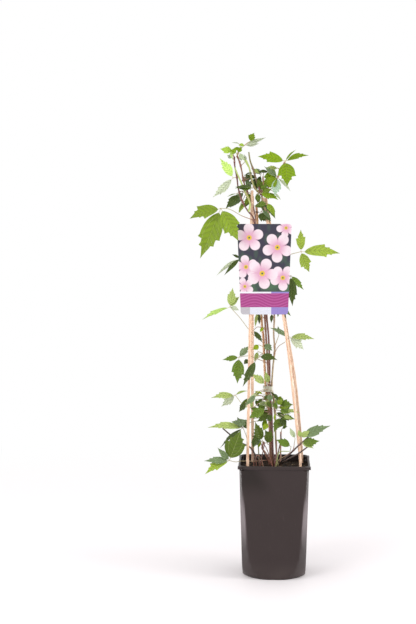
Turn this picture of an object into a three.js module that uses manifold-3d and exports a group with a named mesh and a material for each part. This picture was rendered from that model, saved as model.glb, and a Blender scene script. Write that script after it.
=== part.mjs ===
// A young clematis in a square-topped nursery pot, trained up four split canes and a bamboo cane,
// with a tape tie, a wire ring and a plain plant label. Millimetres, +Z up, the viewer's side is -Y.
// The origin is the middle of the pot's underside.
import * as THREE from "three";
import { mergeVertices } from "three/addons/utils/BufferGeometryUtils.js";
import Module from "manifold-3d";

const wasm = await Module();
wasm.setup();

const TOUCH_GAP = 0.35; // left between pieces that lie against each other
const SMOOTHING = 0.1; // how far a fused shoot's faces may move to shed needless triangles

const POT = {
  height: 213,
  footRadius: 58.7,
  bodyHalf: 64.3, // half the width under the rim
  cornerReach: 88, // from the middle to a corner under the rim
  roundDepth: 50, // how fast the round foot turns square going up
  squareness: 10, // the power of the panels' outline: the higher, the squarer
  turn: -0.05, // it faces a little to the viewer's left, in radians
  rimHalf: 66.2,
  rimDepth: 6.6,
  wall: 1.8,
  floor: 2.4,
  lugWidth: 9,
  lugReach: 0.9,
  drainRadius: 5,
  drainRing: 38,
  drains: 6,
  sides: 32,
};
const SOIL = { top: 200, bump: 2.2, rings: 2 };
const CANE = { radius: 2.8, sides: 8 };
const BAMBOO = { radius: 2.6, sides: 7 };
const TAPE = { left: -21.4, right: 0, front: -1.9, back: 11.2, bottom: 342, height: 11, thickness: 0.8 };
const RING = { height: 678, section: 0.9, slack: 0.4 };
const LABEL = {
  topWidth: 101,
  bottomWidth: 87,
  length: 167,
  corner: 5,
  thickness: 0.8,
  middle: [-20.5, 573], // x and z of the card's centre
  strapHeight: 6,
  strapThickness: 0.7,
  strapRise: 66, // above the card's centre
};
const CANE_LEAN = 0.0786; // how far a front cane moves back for each millimetre of height
const FRONT_CANE_FOOT = { y: -46, z: 211 };

const BLADE_THICKNESS = 0.9;
const STALK_HALF_WIDTH = 0.7;
const VINE_RADIUS = 1.5;
const PETIOLE_RADIUS = 0.8;

// Which way a blade's upper side looks
const FRONT = [0, -1, 0.3];
const TILT = [0, -0.75, 0.7];
const UP = [0, -0.4, 1];
const UNDER = [0, 1, 0.35];
const REAR = [0, 0.8, 0.7];
const LEFT = [-1, -0.5, 0.4];
const RIGHT = [1, -0.5, 0.4];

// Each edge from stalk to tip, as [share of the length, share of the half width]
const PLAIN = [[0.3, 0.95], [0.66, 0.8]];
const TOOTHED = [[0.14, 0.6], [0.36, 1], [0.43, 0.76], [0.64, 0.7], [0.7, 0.42]];
const LOBED = [[0.14, 0.5], [0.42, 1], [0.47, 0.56], [0.66, 0.56], [0.72, 0.32]];
const STALK_SHARE = 0.07;
const STALK_ROOT = 0.45; // where a leaflet starts, beside the end of its petiole
const ARCH = 0.05; // of the length

const frontCaneY = (z) => FRONT_CANE_FOOT.y + CANE_LEAN * (z - FRONT_CANE_FOOT.z);

const CANES = {
  cane_front_left: [[-50, -44.5, 120], [-51.4, -46, 211], [-46.8, frontCaneY(466), 466], [-43, frontCaneY(718), 718]],
  cane_front_right: [
    [46.5, -44.5, 120],
    [46, -46, 211],
    [34, frontCaneY(332), 332],
    [26, frontCaneY(402), 402],
    [14, frontCaneY(488), 488],
    [-22.5, frontCaneY(705), 705],
  ],
  cane_back_left: [[-38.3, 48, 120], [-38.8, 48, 205], [-40.3, 34, 351], [-41.5, 14, 708]],
  cane_back_right: [[49, 43, 120], [55, 45.5, 205], [45, 38, 322], [35, 32, 395], [24, 26, 456], [-17, 10, 704]],
};
const BAMBOO_ROUTE = [
  [-2, 46, 120],
  [-5, 44, 211],
  [-9, 22, 295],
  [-16, 5, 349],
  [-19, 4, 398],
  [-21, 5, 445],
  [-25, 5, 486],
  [-33, 2, 660],
  [-35, 1, 690],
];

// Each shoot is a list of stems and a list of leaves. A leaf is its petiole, which starts on a stem, and
// its leaflets, each as [tip, width, upper side, edge].
const SHOOTS = {
  vine_left: {
    stems: [
      [
        [-1, 18, 170],
        [-3, 16, 199],
        [-6, 12, 227],
        [-7, 9, 256],
        [-8, 6, 307],
        [-11, 1, 350],
        [-13, 1, 398],
        [-16, 2, 445],
        [-19, 1, 487],
        [-26, -1, 552],
        [-32, -4, 617],
        [-37, -9, 650],
        [-39, -14.5, 661],
        [-43, -17, 671],
        [-51, -16, 680],
        [-60, -12, 695],
        [-65, -9, 708],
        [-69, -7, 724],
        [-71, -5, 741],
        [-75, -3, 763],
        [-76, -2, 780],
      ],
      [[-50, -16.5, 679], [-47, -16, 690], [-49, -13, 701], [-57, -11, 717], [-63, -9, 732], [-68, -7, 743], [-75, -4, 760]],
    ],
    leaves: [
      { petiole: [[-76, -2, 779], [-82, -5, 788]], blades: [[[-102, -10, 794], 13, FRONT, LOBED], [[-89, -7, 800], 5, FRONT, PLAIN]] },
      { petiole: [[-75, -3, 770], [-79, -6, 778]], blades: [[[-89, -9, 783], 9, UNDER, PLAIN]] },
      {
        petiole: [[-71, -5, 742], [-78, -9, 741]],
        blades: [[[-103, -14, 777], 17, FRONT, TOOTHED], [[-116, -20, 705], 15, UNDER, TOOTHED]],
      },
      { petiole: [[-67, -8, 714], [-72, -12, 712]], blades: [[[-89, -15, 706], 4, UP, PLAIN]] },
      { petiole: [[-64, -9.5, 704], [-66, -5, 711]], blades: [[[-92, -2, 684], 16, FRONT, TOOTHED]] },
      {
        petiole: [[-39.5, -15, 663], [-57, -18, 669], [-66, -20, 673], [-84, -22, 683], [-101, -26, 685]],
        blades: [
          [[-158, -34, 666], 32, TILT, LOBED],
          [[-139, -30, 593], 38, FRONT, TOOTHED],
          [[-69, -33, 625], 31, FRONT, LOBED],
        ],
      },
      {
        petiole: [[-29, -2.6, 586], [-47, -5, 593], [-65, -10, 593]],
        blades: [
          [[-95, -16, 561], 8, FRONT, PLAIN],
          [[-109, -8, 560], 7, UNDER, PLAIN],
          [[-80, -8, 600], 5, FRONT, PLAIN],
        ],
      },
      {
        petiole: [[-16, 2, 440], [-22, -3, 441], [-35, -3, 446], [-50, -6, 462], [-65, -12, 482], [-84, -18, 503]],
        blades: [
          [[-79, -20, 539], 16, FRONT, TOOTHED],
          [[-66, -14, 522], 10, FRONT, PLAIN],
          [[-135, -28, 480], 15, UP, TOOTHED],
          [[-67, -24, 497], 9, UNDER, PLAIN],
        ],
      },
      {
        petiole: [[-13, 1, 395], [-20, -4, 400], [-33, -6, 405], [-50, -10, 411], [-67, -14, 409]],
        blades: [
          [[-98, -22, 405], 13, TILT, TOOTHED],
          [[-70, -18, 360], 23, FRONT, TOOTHED],
          [[-47, -14, 431], 13, TILT, TOOTHED],
        ],
      },
      { petiole: [[-45, -8.8, 409.4], [-49, -12, 405]], blades: [[[-58, -15, 396], 9, FRONT, PLAIN]] },
      { petiole: [[-13, 1, 405], [-20, -8, 410], [-28, -24, 411], [-36, -41, 407]], blades: [[[-61, -50, 358], 15, TILT, TOOTHED]] },
      {
        petiole: [[-10, 3, 329], [-23, 0, 326], [-38, -6, 315], [-52, -12, 315], [-62, -16, 323], [-74, -20, 339]],
        blades: [
          [[-119, -30, 335], 15, TILT, TOOTHED],
          [[-100, -24, 318], 15, UNDER, TOOTHED],
          [[-50, -16, 346], 7, UP, PLAIN],
        ],
      },
      { petiole: [[-52, -12, 315], [-54, -15, 325]], blades: [[[-67, -20, 307], 11, FRONT, TOOTHED]] },
      { petiole: [[-9, 4, 319], [-24, -20, 337], [-36, -43, 342]], blades: [[[-57, -53, 324], 10, FRONT, PLAIN]] },
      { petiole: [[-18.5, 1, 479], [-32, -6, 493]], blades: [[[-37, -12, 464], 6, FRONT, PLAIN], [[-29, -7, 469], 7, FRONT, PLAIN]] },
      { petiole: [[-17, 1.5, 459], [-31, -6, 465], [-40, -10, 459]], blades: [[[-23, -14, 436], 9, FRONT, TOOTHED]] },
      { petiole: [[-17, 1.5, 461], [-22, -5, 464]], blades: [[[-28, -8, 455], 6, FRONT, PLAIN]] },
      { petiole: [[-15.5, 2, 433], [-20, -8, 433]], blades: [[[-5, -14, 421], 13, FRONT, TOOTHED]] },
      { petiole: [[-14.5, 2, 422], [-22, -8, 428], [-30, -12, 432]], blades: [[[-42, -18, 423], 10, FRONT, TOOTHED]] },
      { petiole: [[-14, 1.5, 412], [-24, -14, 415], [-30, -17, 411]], blades: [[[4, -26, 405], 17, TILT, TOOTHED]] },
      { petiole: [[-11.4, 1, 357], [-18, -9, 358]], blades: [[[-44, -18, 379], 14, FRONT, TOOTHED]] },
      { petiole: [[-10, 2, 337], [-22, -6, 339]], blades: [[[-38, -12, 345], 5, TILT, PLAIN]] },
      { petiole: [[-8.3, 5, 312], [-13, -10, 317], [-17, -16, 313]], blades: [[[-50, -26, 295], 18, FRONT, TOOTHED]] },
      { petiole: [[-8, 6, 302], [-12, -8, 302]], blades: [[[-33, -12, 288], 13, FRONT, TOOTHED], [[-8, -15, 287], 12, FRONT, PLAIN]] },
      { petiole: [[-7.5, 7.5, 280], [-12, -10, 285]], blades: [[[-22, -13, 271], 10, FRONT, PLAIN]] },
      { petiole: [[-7, 9, 249], [-16, -2, 246], [-23, -12, 252]], blades: [[[-37, -24, 290], 18, FRONT, TOOTHED]] },
      { petiole: [[-6.5, 10.5, 240], [-14, -12, 246]], blades: [[[-6, -22, 275], 16, FRONT, TOOTHED]] },
    ],
  },
  vine_middle: {
    stems: [
      [
        [4, 24, 170],
        [2, 20, 200],
        [0, 16, 226],
        [-1, 14, 255],
        [-3, 12, 306],
        [-8, 6, 349],
        [-9, 7, 398],
        [-11, 8, 445],
        [-15, 8, 486],
        [-24, 9, 580],
        [-31, 10, 625],
        [-35, 10, 660],
        [-41, 7, 691],
        [-47, 4, 704],
        [-52, 3, 717],
        [-57, 2, 730],
        [-60, 1, 742],
        [-62, 0, 754],
        [-66, 0, 770],
        [-71, -1, 782],
      ],
    ],
    leaves: [
      { petiole: [[-70, -1, 780], [-72, -4, 787]], blades: [[[-83, -6, 793], 11, FRONT, TOOTHED]] },
      { petiole: [[-71, -1, 781], [-70, -2, 788]], blades: [[[-62, -5, 799], 9, FRONT, TOOTHED]] },
      { petiole: [[-66, 0, 769], [-63, 2, 773]], blades: [[[-64, 4, 787], 9, UNDER, PLAIN]] },
      { petiole: [[-64, 0, 763], [-55, 3, 772]], blades: [[[-57, 5, 785], 5, UNDER, PLAIN]] },
      {
        petiole: [[-71, -1, 781], [-64, -2, 794], [-57, -3, 801]],
        blades: [[[-18, -8, 815], 8, UNDER, PLAIN], [[-30, -9, 804], 8, UNDER, TOOTHED], [[-69, -6, 801], 6, FRONT, PLAIN]],
      },
      { petiole: [[-57, -3, 801], [-51, -3, 806], [-47, -4, 808]], blades: [[[-39, -4, 824], 13, FRONT, TOOTHED]] },
      { petiole: [[-64, -2, 794], [-66, 6, 804]], blades: [[[-80, 12, 807], 5, UP, PLAIN]] },
      { petiole: [[-47, 4, 704], [-54, 8, 726], [-47, 9, 741]], blades: [[[-63, 12, 735], 10, UNDER, PLAIN]] },
      { petiole: [[-43, 6, 695], [-49, -2, 702]], blades: [[[-55, -6, 687], 8, FRONT, PLAIN]] },
      { petiole: [[-52, 3, 717], [-60, -3, 700]], blades: [[[-65, -4, 679], 4, LEFT, PLAIN]] },
      { petiole: [[-9.2, 7, 405], [-19, 12, 412], [-31, 4, 418]], blades: [[[-38, 0, 399], 8, FRONT, PLAIN]] },
      {
        petiole: [[-15, 8, 487], [-12, 22, 505], [-6, 34, 520]],
        blades: [[[-33, 38, 546], 20, REAR, TOOTHED], [[14, 46, 544], 20, REAR, TOOTHED], [[-8, 70, 510], 26, REAR, LOBED]],
      },
      {
        petiole: [[-24, 9, 582], [-28, 22, 595], [-32, 32, 606]],
        blades: [[[-57, 40, 600], 16, REAR, TOOTHED], [[-30, 62, 598], 24, REAR, LOBED], [[-18, 38, 632], 16, REAR, TOOTHED]],
      },
      {
        petiole: [[-3, 12, 308], [-6, 28, 312], [-8, 38, 314]],
        blades: [[[-30, 50, 308], 18, REAR, TOOTHED], [[14, 50, 316], 18, REAR, TOOTHED], [[-8, 70, 300], 24, REAR, LOBED]],
      },
    ],
  },
  vine_right: {
    stems: [
      [
        [10, 17, 170],
        [7, 14, 202],
        [5, 11, 221],
        [3, 7, 254],
        [2, 4, 289],
        [-1, 2, 327],
        [-5, 2, 349],
        [-3, 0, 389],
        [0, -1, 421],
        [-2, -1, 453],
        [-1, -2, 487],
        [-5, -3, 571],
        [-15, -2, 660],
        [-22, -1, 687],
        [-24, -2, 711],
        [-13, -3, 723],
        [3, -5, 740],
        [10, -6, 754],
        [17, -8, 770],
      ],
      [
        [-23.5, -2, 710],
        [-36, -4, 720],
        [-41, -5, 729],
        [-45, -6, 743],
        [-47, -6, 754],
        [-49, -5, 762],
        [-54, -4, 774],
      ],
      [[-49, -5, 761], [-53, -3, 768], [-58, -2, 776]],
      [[-45, -6, 743], [-39, 0, 749], [-40, 2, 759], [-47, 1, 774], [-50, 0, 789]],
    ],
    leaves: [
      { petiole: [[-38, -4.5, 724], [-42, -14, 724]], blades: [[[-75, -21, 721], 13, UP, TOOTHED]] },
      { petiole: [[-46, -6, 745], [-43, -8, 751]], blades: [[[-58, -12, 744], 6, UP, PLAIN]] },
      { petiole: [[-40, 0, 749], [-38, 4, 751]], blades: [[[-28, 7, 757], 10, TILT, PLAIN]] },
      {
        petiole: [[-24, -1.5, 710], [-25, 5, 730], [-21, 8, 751]],
        blades: [[[-33, 12, 751], 7, UP, PLAIN], [[-13, 10, 754], 7, UP, PLAIN]],
      },
      {
        petiole: [[2, -5, 739], [4, -8, 742]],
        blades: [
          [[-21, -8, 762], 12, TILT, TOOTHED],
          [[-18, -4, 724], 22, FRONT, TOOTHED],
          [[-2, -18, 707], 18, UNDER, TOOTHED],
          [[28, -14, 716], 6, UNDER, PLAIN],
        ],
      },
      {
        petiole: [[16, -8, 768], [18, -9, 772]],
        blades: [
          [[-33, -14, 780], 19, FRONT, LOBED],
          [[21, -24, 726], 31, FRONT, LOBED],
          [[61, -16, 782], 13, TILT, TOOTHED],
          [[38, -4, 793], 6, UP, PLAIN],
        ],
      },
      { petiole: [[-24, -2, 711], [-22, -4, 712]], blades: [[[5, -20, 700], 13, TILT, TOOTHED], [[-7, -10, 722], 8, FRONT, PLAIN]] },
      { petiole: [[-31, -3.5, 716], [-31, -14, 710]], blades: [[[-32, -19, 697], 9, FRONT, PLAIN]] },
      { petiole: [[-21.5, -1, 686], [-28, -12, 691], [-24, -18, 692]], blades: [[[-1, -27, 666], 24, RIGHT, TOOTHED]] },
      { petiole: [[-20, -1, 680], [-26, -8, 680], [-25, -15, 678]], blades: [[[-26, -18, 660], 12, FRONT, PLAIN], [[-8, -18, 661], 12, FRONT, TOOTHED]] },
      {
        petiole: [[-5, -3, 574], [12, -2, 590], [27, -3, 599], [48, -8, 605]],
        blades: [
          [[47, -12, 646], 16, FRONT, LOBED],
          [[119, -20, 602], 22, FRONT, LOBED],
          [[63, -12, 567], 20, FRONT, LOBED],
        ],
      },
      {
        petiole: [[-2, -2.5, 515], [17, -6, 545], [29, -10, 561]],
        blades: [[[32, -16, 504], 20, FRONT, TOOTHED], [[53, -12, 534], 12, FRONT, TOOTHED]],
      },
      {
        petiole: [[-1, -2, 492], [9, -8, 506]],
        blades: [[[5, -13, 483], 8, FRONT, PLAIN], [[21, -8, 480], 8, FRONT, PLAIN], [[30, -6, 485], 8, FRONT, PLAIN]],
      },
      { petiole: [[-1, -2, 480], [-6, -6, 489]], blades: [[[-7, -9, 472], 6, FRONT, PLAIN]] },
      {
        petiole: [[-0.5, -1, 414], [7, -2, 428], [20, -4, 437], [27, -6, 446]],
        blades: [
          [[-10, -12, 464], 12, TILT, TOOTHED],
          [[73, -14, 443], 15, TILT, LOBED],
          [[53, -14, 423], 17, UNDER, LOBED],
        ],
      },
      { petiole: [[0, -1, 427], [8, 2, 449]], blades: [[[6, 4, 466], 6, FRONT, PLAIN]] },
      { petiole: [[-4.6, 2, 358], [-12, -10, 359]], blades: [[[-18, -14, 383], 11, FRONT, PLAIN]] },
      { petiole: [[-4, 2, 338], [-9, -10, 340]], blades: [[[-10, -15, 325], 12, FRONT, PLAIN]] },
      { petiole: [[-3.5, 2, 339], [-2, -8, 341]], blades: [[[7, -15, 326], 7, FRONT, PLAIN]] },
      { petiole: [[-1, 2, 327], [0, -10, 330]], blades: [[[-3, -15, 313], 7, RIGHT, PLAIN]] },
      {
        petiole: [[0, 3, 311], [6, -8, 315], [12, -12, 317]],
        blades: [[[32, -20, 322], 22, FRONT, TOOTHED], [[15, -14, 333], 10, FRONT, PLAIN], [[26, -19, 304], 14, FRONT, TOOTHED]],
      },
      {
        petiole: [[1.5, 3.5, 300], [10, -8, 296]],
        blades: [[[38, -16, 293], 14, TILT, TOOTHED], [[22, -15, 278], 12, FRONT, PLAIN], [[-2, -17, 268], 13, FRONT, TOOTHED]],
      },
      { petiole: [[0, 3, 319], [18, 6, 305]], blades: [[[48, 12, 301], 8, TILT, PLAIN]] },
    ],
  },
  shoot_low_left: {
    stems: [[[-4, 24, 170], [-7, 22, 200], [-18, 18, 225], [-22, 16, 234], [-19, 14, 246]]],
    leaves: [
      { petiole: [[-22, 16, 235], [-28, 8, 254], [-33, -2, 261]], blades: [[[-41, -10, 236], 12, FRONT, TOOTHED]] },
      { petiole: [[-20, 14, 243], [-25, 6, 249]], blades: [[[-31, 0, 235], 6, FRONT, PLAIN]] },
      {
        petiole: [[-11, 21, 209], [-25, 8, 211], [-37, -10, 213], [-51, -35, 218], [-64, -42, 219], [-74, -44, 218], [-85, -46, 221]],
        blades: [
          [[-64, -53, 279], 36, FRONT, TOOTHED],
          [[-107, -52, 246], 12, FRONT, PLAIN],
          [[-132, -56, 222], 15, TILT, TOOTHED],
          [[-130, -66, 198], 17, TILT, LOBED],
        ],
      },
    ],
  },
  stub_left: {
    stems: [[[-22, 34, 170], [-25, 32, 200], [-35, 26, 219], [-45, 22, 234], [-66, 11, 246], [-85, 2, 263], [-97, -2, 274]]],
    leaves: [
      {
        petiole: [[-49, 20, 236.5], [-52, 8, 256], [-59, -6, 276]],
        blades: [
          [[-125, -20, 278], 15, TILT, TOOTHED],
          [[-82, -8, 285], 17, UNDER, TOOTHED],
          [[-48, -10, 287], 14, FRONT, TOOTHED],
          [[-70, -8, 296], 12, FRONT, PLAIN],
          [[-102, -16, 239], 11, UP, TOOTHED],
        ],
      },
    ],
  },
  stubs_right: {
    stems: [
      [[12, 4, 170], [10, 3, 204], [24, -30, 227], [39, -52, 247], [49, -57, 257], [65, -60, 272]],
      [[10, 3, 200], [13, 1, 206], [26, -28, 221], [42, -52, 235], [59, -58, 249]],
    ],
    leaves: [
      { petiole: [[33, -43, 239], [36, -46, 262]], blades: [[[26, -44, 282], 9, FRONT, PLAIN]] },
      { petiole: [[26, -33, 229], [29, -40, 246]], blades: [[[1, -36, 258], 15, FRONT, TOOTHED]] },
      {
        petiole: [[45, -55, 253], [46, -59, 266]],
        blades: [[[100, -66, 288], 21, TILT, TOOTHED], [[62, -61, 279], 11, FRONT, PLAIN], [[41, -59, 280], 9, FRONT, PLAIN]],
      },
      { petiole: [[45, -55, 253], [47, -58, 256]], blades: [[[80, -65, 260], 16, FRONT, TOOTHED], [[69, -62, 246], 9, FRONT, PLAIN]] },
    ],
  },
  shoot_thin: {
    stems: [[[13, 27, 170], [13, 24, 200], [13, 20, 235], [13, 11, 265]]],
    leaves: [{ petiole: [[13, 12, 262], [15, 8, 272]], blades: [[[25, 5, 276], 7, TILT, PLAIN]] }],
  },
};

const vec = ([x, y, z]) => new THREE.Vector3(x, y, z);

function closedGeometry(points, faces) {
  const geometry = new THREE.BufferGeometry();
  geometry.setAttribute("position", new THREE.Float32BufferAttribute(points.flatMap((p) => p.toArray()), 3));
  geometry.setIndex(faces.flat());
  return geometry;
}

function toSolid(geometry) {
  const bare = geometry.clone();
  bare.deleteAttribute("normal");
  bare.deleteAttribute("uv");
  const merged = mergeVertices(bare, 1e-4);
  return new wasm.Manifold(
    new wasm.Mesh({
      numProp: 3,
      vertProperties: new Float32Array(merged.attributes.position.array),
      triVerts: new Uint32Array(merged.index.array),
    }),
  );
}

function toGeometry(solid) {
  const mesh = solid.getMesh();
  const geometry = new THREE.BufferGeometry();
  geometry.setAttribute("position", new THREE.BufferAttribute(new Float32Array(mesh.vertProperties), 3));
  geometry.setIndex([...mesh.triVerts]);
  geometry.computeVertexNormals();
  return geometry;
}

const union = (solids) => wasm.Manifold.union(solids);

/** The body that holds most of the volume, without the scraps that a cut leaves. */
function mainBody(solid) {
  const bodies = solid.decompose();
  return bodies.reduce((best, body) => (body.volume() > best.volume() ? body : best));
}

/** A closed skin over rings of equal length, listed from the bottom up. */
function loft(rings) {
  const count = rings[0].length;
  const points = rings.flat();
  const faces = [];
  for (let ring = 0; ring + 1 < rings.length; ring += 1) {
    for (let i = 0; i < count; i += 1) {
      const a = ring * count + i;
      const b = ring * count + ((i + 1) % count);
      faces.push([a, b, b + count], [a, b + count, a + count]);
    }
  }
  const centre = (ring) => ring.reduce((sum, p) => sum.add(p), new THREE.Vector3()).divideScalar(count);
  const bottom = points.push(centre(rings[0])) - 1;
  const top = points.push(centre(rings.at(-1))) - 1;
  const last = (rings.length - 1) * count;
  for (let i = 0; i < count; i += 1) {
    const next = (i + 1) % count;
    faces.push([bottom, next, i], [top, last + i, last + next]);
  }
  return closedGeometry(points, faces);
}

/** A ring with four flat sides and round corners that reach no further than the given radius. */
function potRing(half, z, reach = Infinity) {
  const power = POT.squareness;
  return Array.from({ length: POT.sides }, (_, i) => {
    const angle = ((i + 0.5) / POT.sides) * 2 * Math.PI;
    const square = half * (Math.abs(Math.cos(angle)) ** power + Math.abs(Math.sin(angle)) ** power) ** (-1 / power);
    const radius = Math.min(square, reach);
    return new THREE.Vector3(radius * Math.cos(angle + POT.turn), radius * Math.sin(angle + POT.turn), z);
  });
}

/** The pot's body at a height: four flat panels that a cone rounds off, fully so at the foot. */
function potSection(z, inset = 0) {
  const share = z / POT.height;
  const half = THREE.MathUtils.lerp(POT.footRadius, POT.bodyHalf, share);
  const squared = 1 - Math.exp(-z / POT.roundDepth);
  const reach = THREE.MathUtils.lerp(POT.footRadius + 1, POT.cornerReach, squared);
  return potRing(half - inset, z, reach - inset);
}

const LEVELS = [4, 30, 75, 140];

function potSolid() {
  const rimBottom = POT.height - POT.rimDepth;
  const outside = loft([
    potSection(0, 1.5),
    ...LEVELS.map((z) => potSection(z)),
    potSection(rimBottom - 1.2),
    potRing(POT.rimHalf - 0.8, rimBottom),
    potRing(POT.rimHalf, rimBottom + 1),
    potRing(POT.rimHalf, POT.height - 0.8),
    potRing(POT.rimHalf - 0.8, POT.height),
  ]);
  const inside = loft([
    potSection(POT.floor, POT.wall),
    ...LEVELS.slice(1).map((z) => potSection(z, POT.wall)),
    potSection(rimBottom, POT.wall),
    potRing(POT.bodyHalf - 1.2, POT.height + 1),
  ]);
  const lugs = [-1, 1].flatMap((sx) =>
    [-1, 1].map((sy) => {
      const reach = POT.rimHalf + POT.lugReach - POT.lugWidth / 2;
      const lug = new THREE.BoxGeometry(POT.lugWidth, POT.lugWidth * 1.6, POT.rimDepth - 2);
      lug.translate(sx * reach, sy * (POT.rimHalf - POT.lugWidth), rimBottom + POT.rimDepth / 2 - 0.6);
      lug.rotateZ(POT.turn);
      return toSolid(lug);
    }),
  );
  const drains = Array.from({ length: POT.drains }, (_, i) => {
    const angle = ((i + 0.5) / POT.drains) * 2 * Math.PI;
    const drain = new THREE.CylinderGeometry(POT.drainRadius, POT.drainRadius, 4 * POT.floor, 8);
    drain.rotateX(Math.PI / 2);
    drain.translate(POT.drainRing * Math.cos(angle), POT.drainRing * Math.sin(angle), 0);
    return toSolid(drain);
  });
  return union([toSolid(outside), ...lugs]).subtract(toSolid(inside)).subtract(union(drains));
}

/** The compost fills the pot to a little under the rim, with a lumpy top. */
function soilBlock() {
  const inset = POT.wall + TOUCH_GAP;
  const shrink = (ring, share) =>
    ring.map((p, i) => {
      const lump = SOIL.bump * Math.sin(5 * share + i * 1.7) * Math.cos(i * 0.9 + 11 * share);
      return new THREE.Vector3(p.x * share, p.y * share, SOIL.top + lump * (1 - share ** 6));
    });
  const edge = potSection(SOIL.top, inset);
  const crown = Array.from({ length: SOIL.rings }, (_, i) => shrink(edge, 1 - (i + 1) / (SOIL.rings + 1)));
  return toSolid(
    loft([
      potSection(POT.floor + TOUCH_GAP, inset + 0.4),
      ...LEVELS.slice(1).map((z) => potSection(z, inset)),
      edge,
      ...crown,
    ]),
  );
}

/** A round rod along a smooth curve through the points. */
function rod(points, radius, sides, steps = points.length) {
  const section = new THREE.Shape(
    Array.from({ length: sides }, (_, i) => {
      const angle = (i / sides) * 2 * Math.PI;
      return new THREE.Vector2(radius * Math.cos(angle), radius * Math.sin(angle));
    }),
  );
  const extrudePath = new THREE.CatmullRomCurve3(points.map(vec));
  return toSolid(new THREE.ExtrudeGeometry(section, { steps, extrudePath, bevelEnabled: false }));
}

const canes = (grow) =>
  Object.entries(CANES).map(([name, points]) => ({ name, solid: rod(points, CANE.radius + grow, CANE.sides, 7) }));

const bamboo = (grow) => rod(BAMBOO_ROUTE, BAMBOO.radius + grow, BAMBOO.sides, 12);

/** A leaflet: a thin arched blade with cut edges and a short flat stalk. */
function blade(from, [tip, width, face, edge], grow) {
  const start = vec(from);
  const along = vec(tip).sub(start);
  const length = along.length();
  along.normalize();
  const up = vec(face).projectOnPlane(along).normalize();
  const side = new THREE.Vector3().crossVectors(along, up);
  const half = BLADE_THICKNESS / 2 + grow;
  const stalk = STALK_HALF_WIDTH + grow;
  const outline = [[STALK_ROOT / length, stalk], [STALK_SHARE, stalk]];
  outline.push(...edge.map(([share, out]) => [share, Math.max((out * width) / 2, STALK_HALF_WIDTH) + grow]));
  outline.push([1 + grow / length, 0]);
  const points = [];
  for (const [share, out] of outline) {
    const arch = 4 * ARCH * length * share * (1 - share);
    const rib = start.clone().addScaledVector(along, share * length).addScaledVector(up, arch);
    for (const across of [-out, out]) {
      const spot = rib.clone().addScaledVector(side, across);
      points.push(spot.clone().addScaledVector(up, half), spot.addScaledVector(up, -half));
    }
  }
  const faces = [];
  const quad = (a, b, c, d) => faces.push([a, b, c], [a, c, d]);
  const [leftTop, leftUnder, rightTop, rightUnder, next] = [0, 1, 2, 3, 4];
  for (let i = 0; i + 1 < outline.length; i += 1) {
    const at = (corner) => next * i + corner;
    quad(at(leftTop), at(rightTop), at(rightTop + next), at(leftTop + next));
    quad(at(leftUnder), at(leftUnder + next), at(rightUnder + next), at(rightUnder));
    quad(at(leftTop), at(leftTop + next), at(leftUnder + next), at(leftUnder));
    quad(at(rightTop), at(rightUnder), at(rightUnder + next), at(rightTop + next));
  }
  quad(leftTop, leftUnder, rightUnder, rightTop);
  return toSolid(dropSlivers(closedGeometry(points, faces)));
}

/** The same mesh without triangles whose corners coincide, as those at a leaflet's tip do. */
function dropSlivers(geometry) {
  const merged = mergeVertices(geometry, 1e-4);
  const index = [...merged.index.array];
  const kept = [];
  for (let i = 0; i < index.length; i += 3) {
    const [a, b, c] = index.slice(i, i + 3);
    if (a !== b && b !== c && c !== a) kept.push(a, b, c);
  }
  merged.setIndex(kept);
  return merged;
}

/** The same route, carried on a little past its last point. */
function carriedOn(points, reach) {
  const [before, end] = points.slice(-2).map(vec);
  const last = end.clone().sub(before).setLength(reach).add(end);
  return [...points.slice(0, -1), last.toArray()];
}

const stemsOf = (shoot, grow) => [
  ...shoot.stems.map((points) => rod(points, VINE_RADIUS + grow, 5)),
  ...shoot.leaves.map(({ petiole }) =>
    rod(carriedOn(petiole, PETIOLE_RADIUS), PETIOLE_RADIUS + grow, 4, petiole.length),
  ),
];

const bladesOf = (shoot, grow) =>
  shoot.leaves.flatMap(({ petiole, blades }) => blades.map((spec) => blade(petiole.at(-1), spec, grow)));

/** The tape round the stems, as a flat band. */
function tapeBand() {
  const { left, right, front, back, bottom, height, thickness } = TAPE;
  const outline = (inset) => {
    const [x0, x1, y0, y1] = [left + inset, right - inset, front + inset, back - inset];
    const cut = 3.2 - inset / 2;
    const corners = [[x0 + cut, y0], [x1 - cut, y0], [x1, y0 + cut], [x1, y1 - cut]];
    corners.push([x1 - cut, y1], [x0 + cut, y1], [x0, y1 - cut], [x0, y0 + cut]);
    return corners.map(([x, y]) => new THREE.Vector2(x, y));
  };
  const band = new THREE.Shape(outline(0));
  band.holes.push(new THREE.Path(outline(thickness)));
  const geometry = new THREE.ExtrudeGeometry(band, { depth: height, bevelEnabled: false });
  geometry.translate(0, 0, bottom);
  return toSolid(geometry);
}

/** The point of the bamboo cane at a height. */
function bambooAt(height) {
  const after = BAMBOO_ROUTE.findIndex(([, , z]) => z > height);
  const [low, high] = [vec(BAMBOO_ROUTE[after - 1]), vec(BAMBOO_ROUTE[after])];
  return low.lerp(high, (height - low.z) / (high.z - low.z));
}

function wireRing() {
  const radius = BAMBOO.radius + RING.slack + RING.section;
  const ring = new THREE.TorusGeometry(radius, RING.section, 6, 14);
  ring.translate(...bambooAt(RING.height).toArray());
  return toSolid(ring);
}

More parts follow.
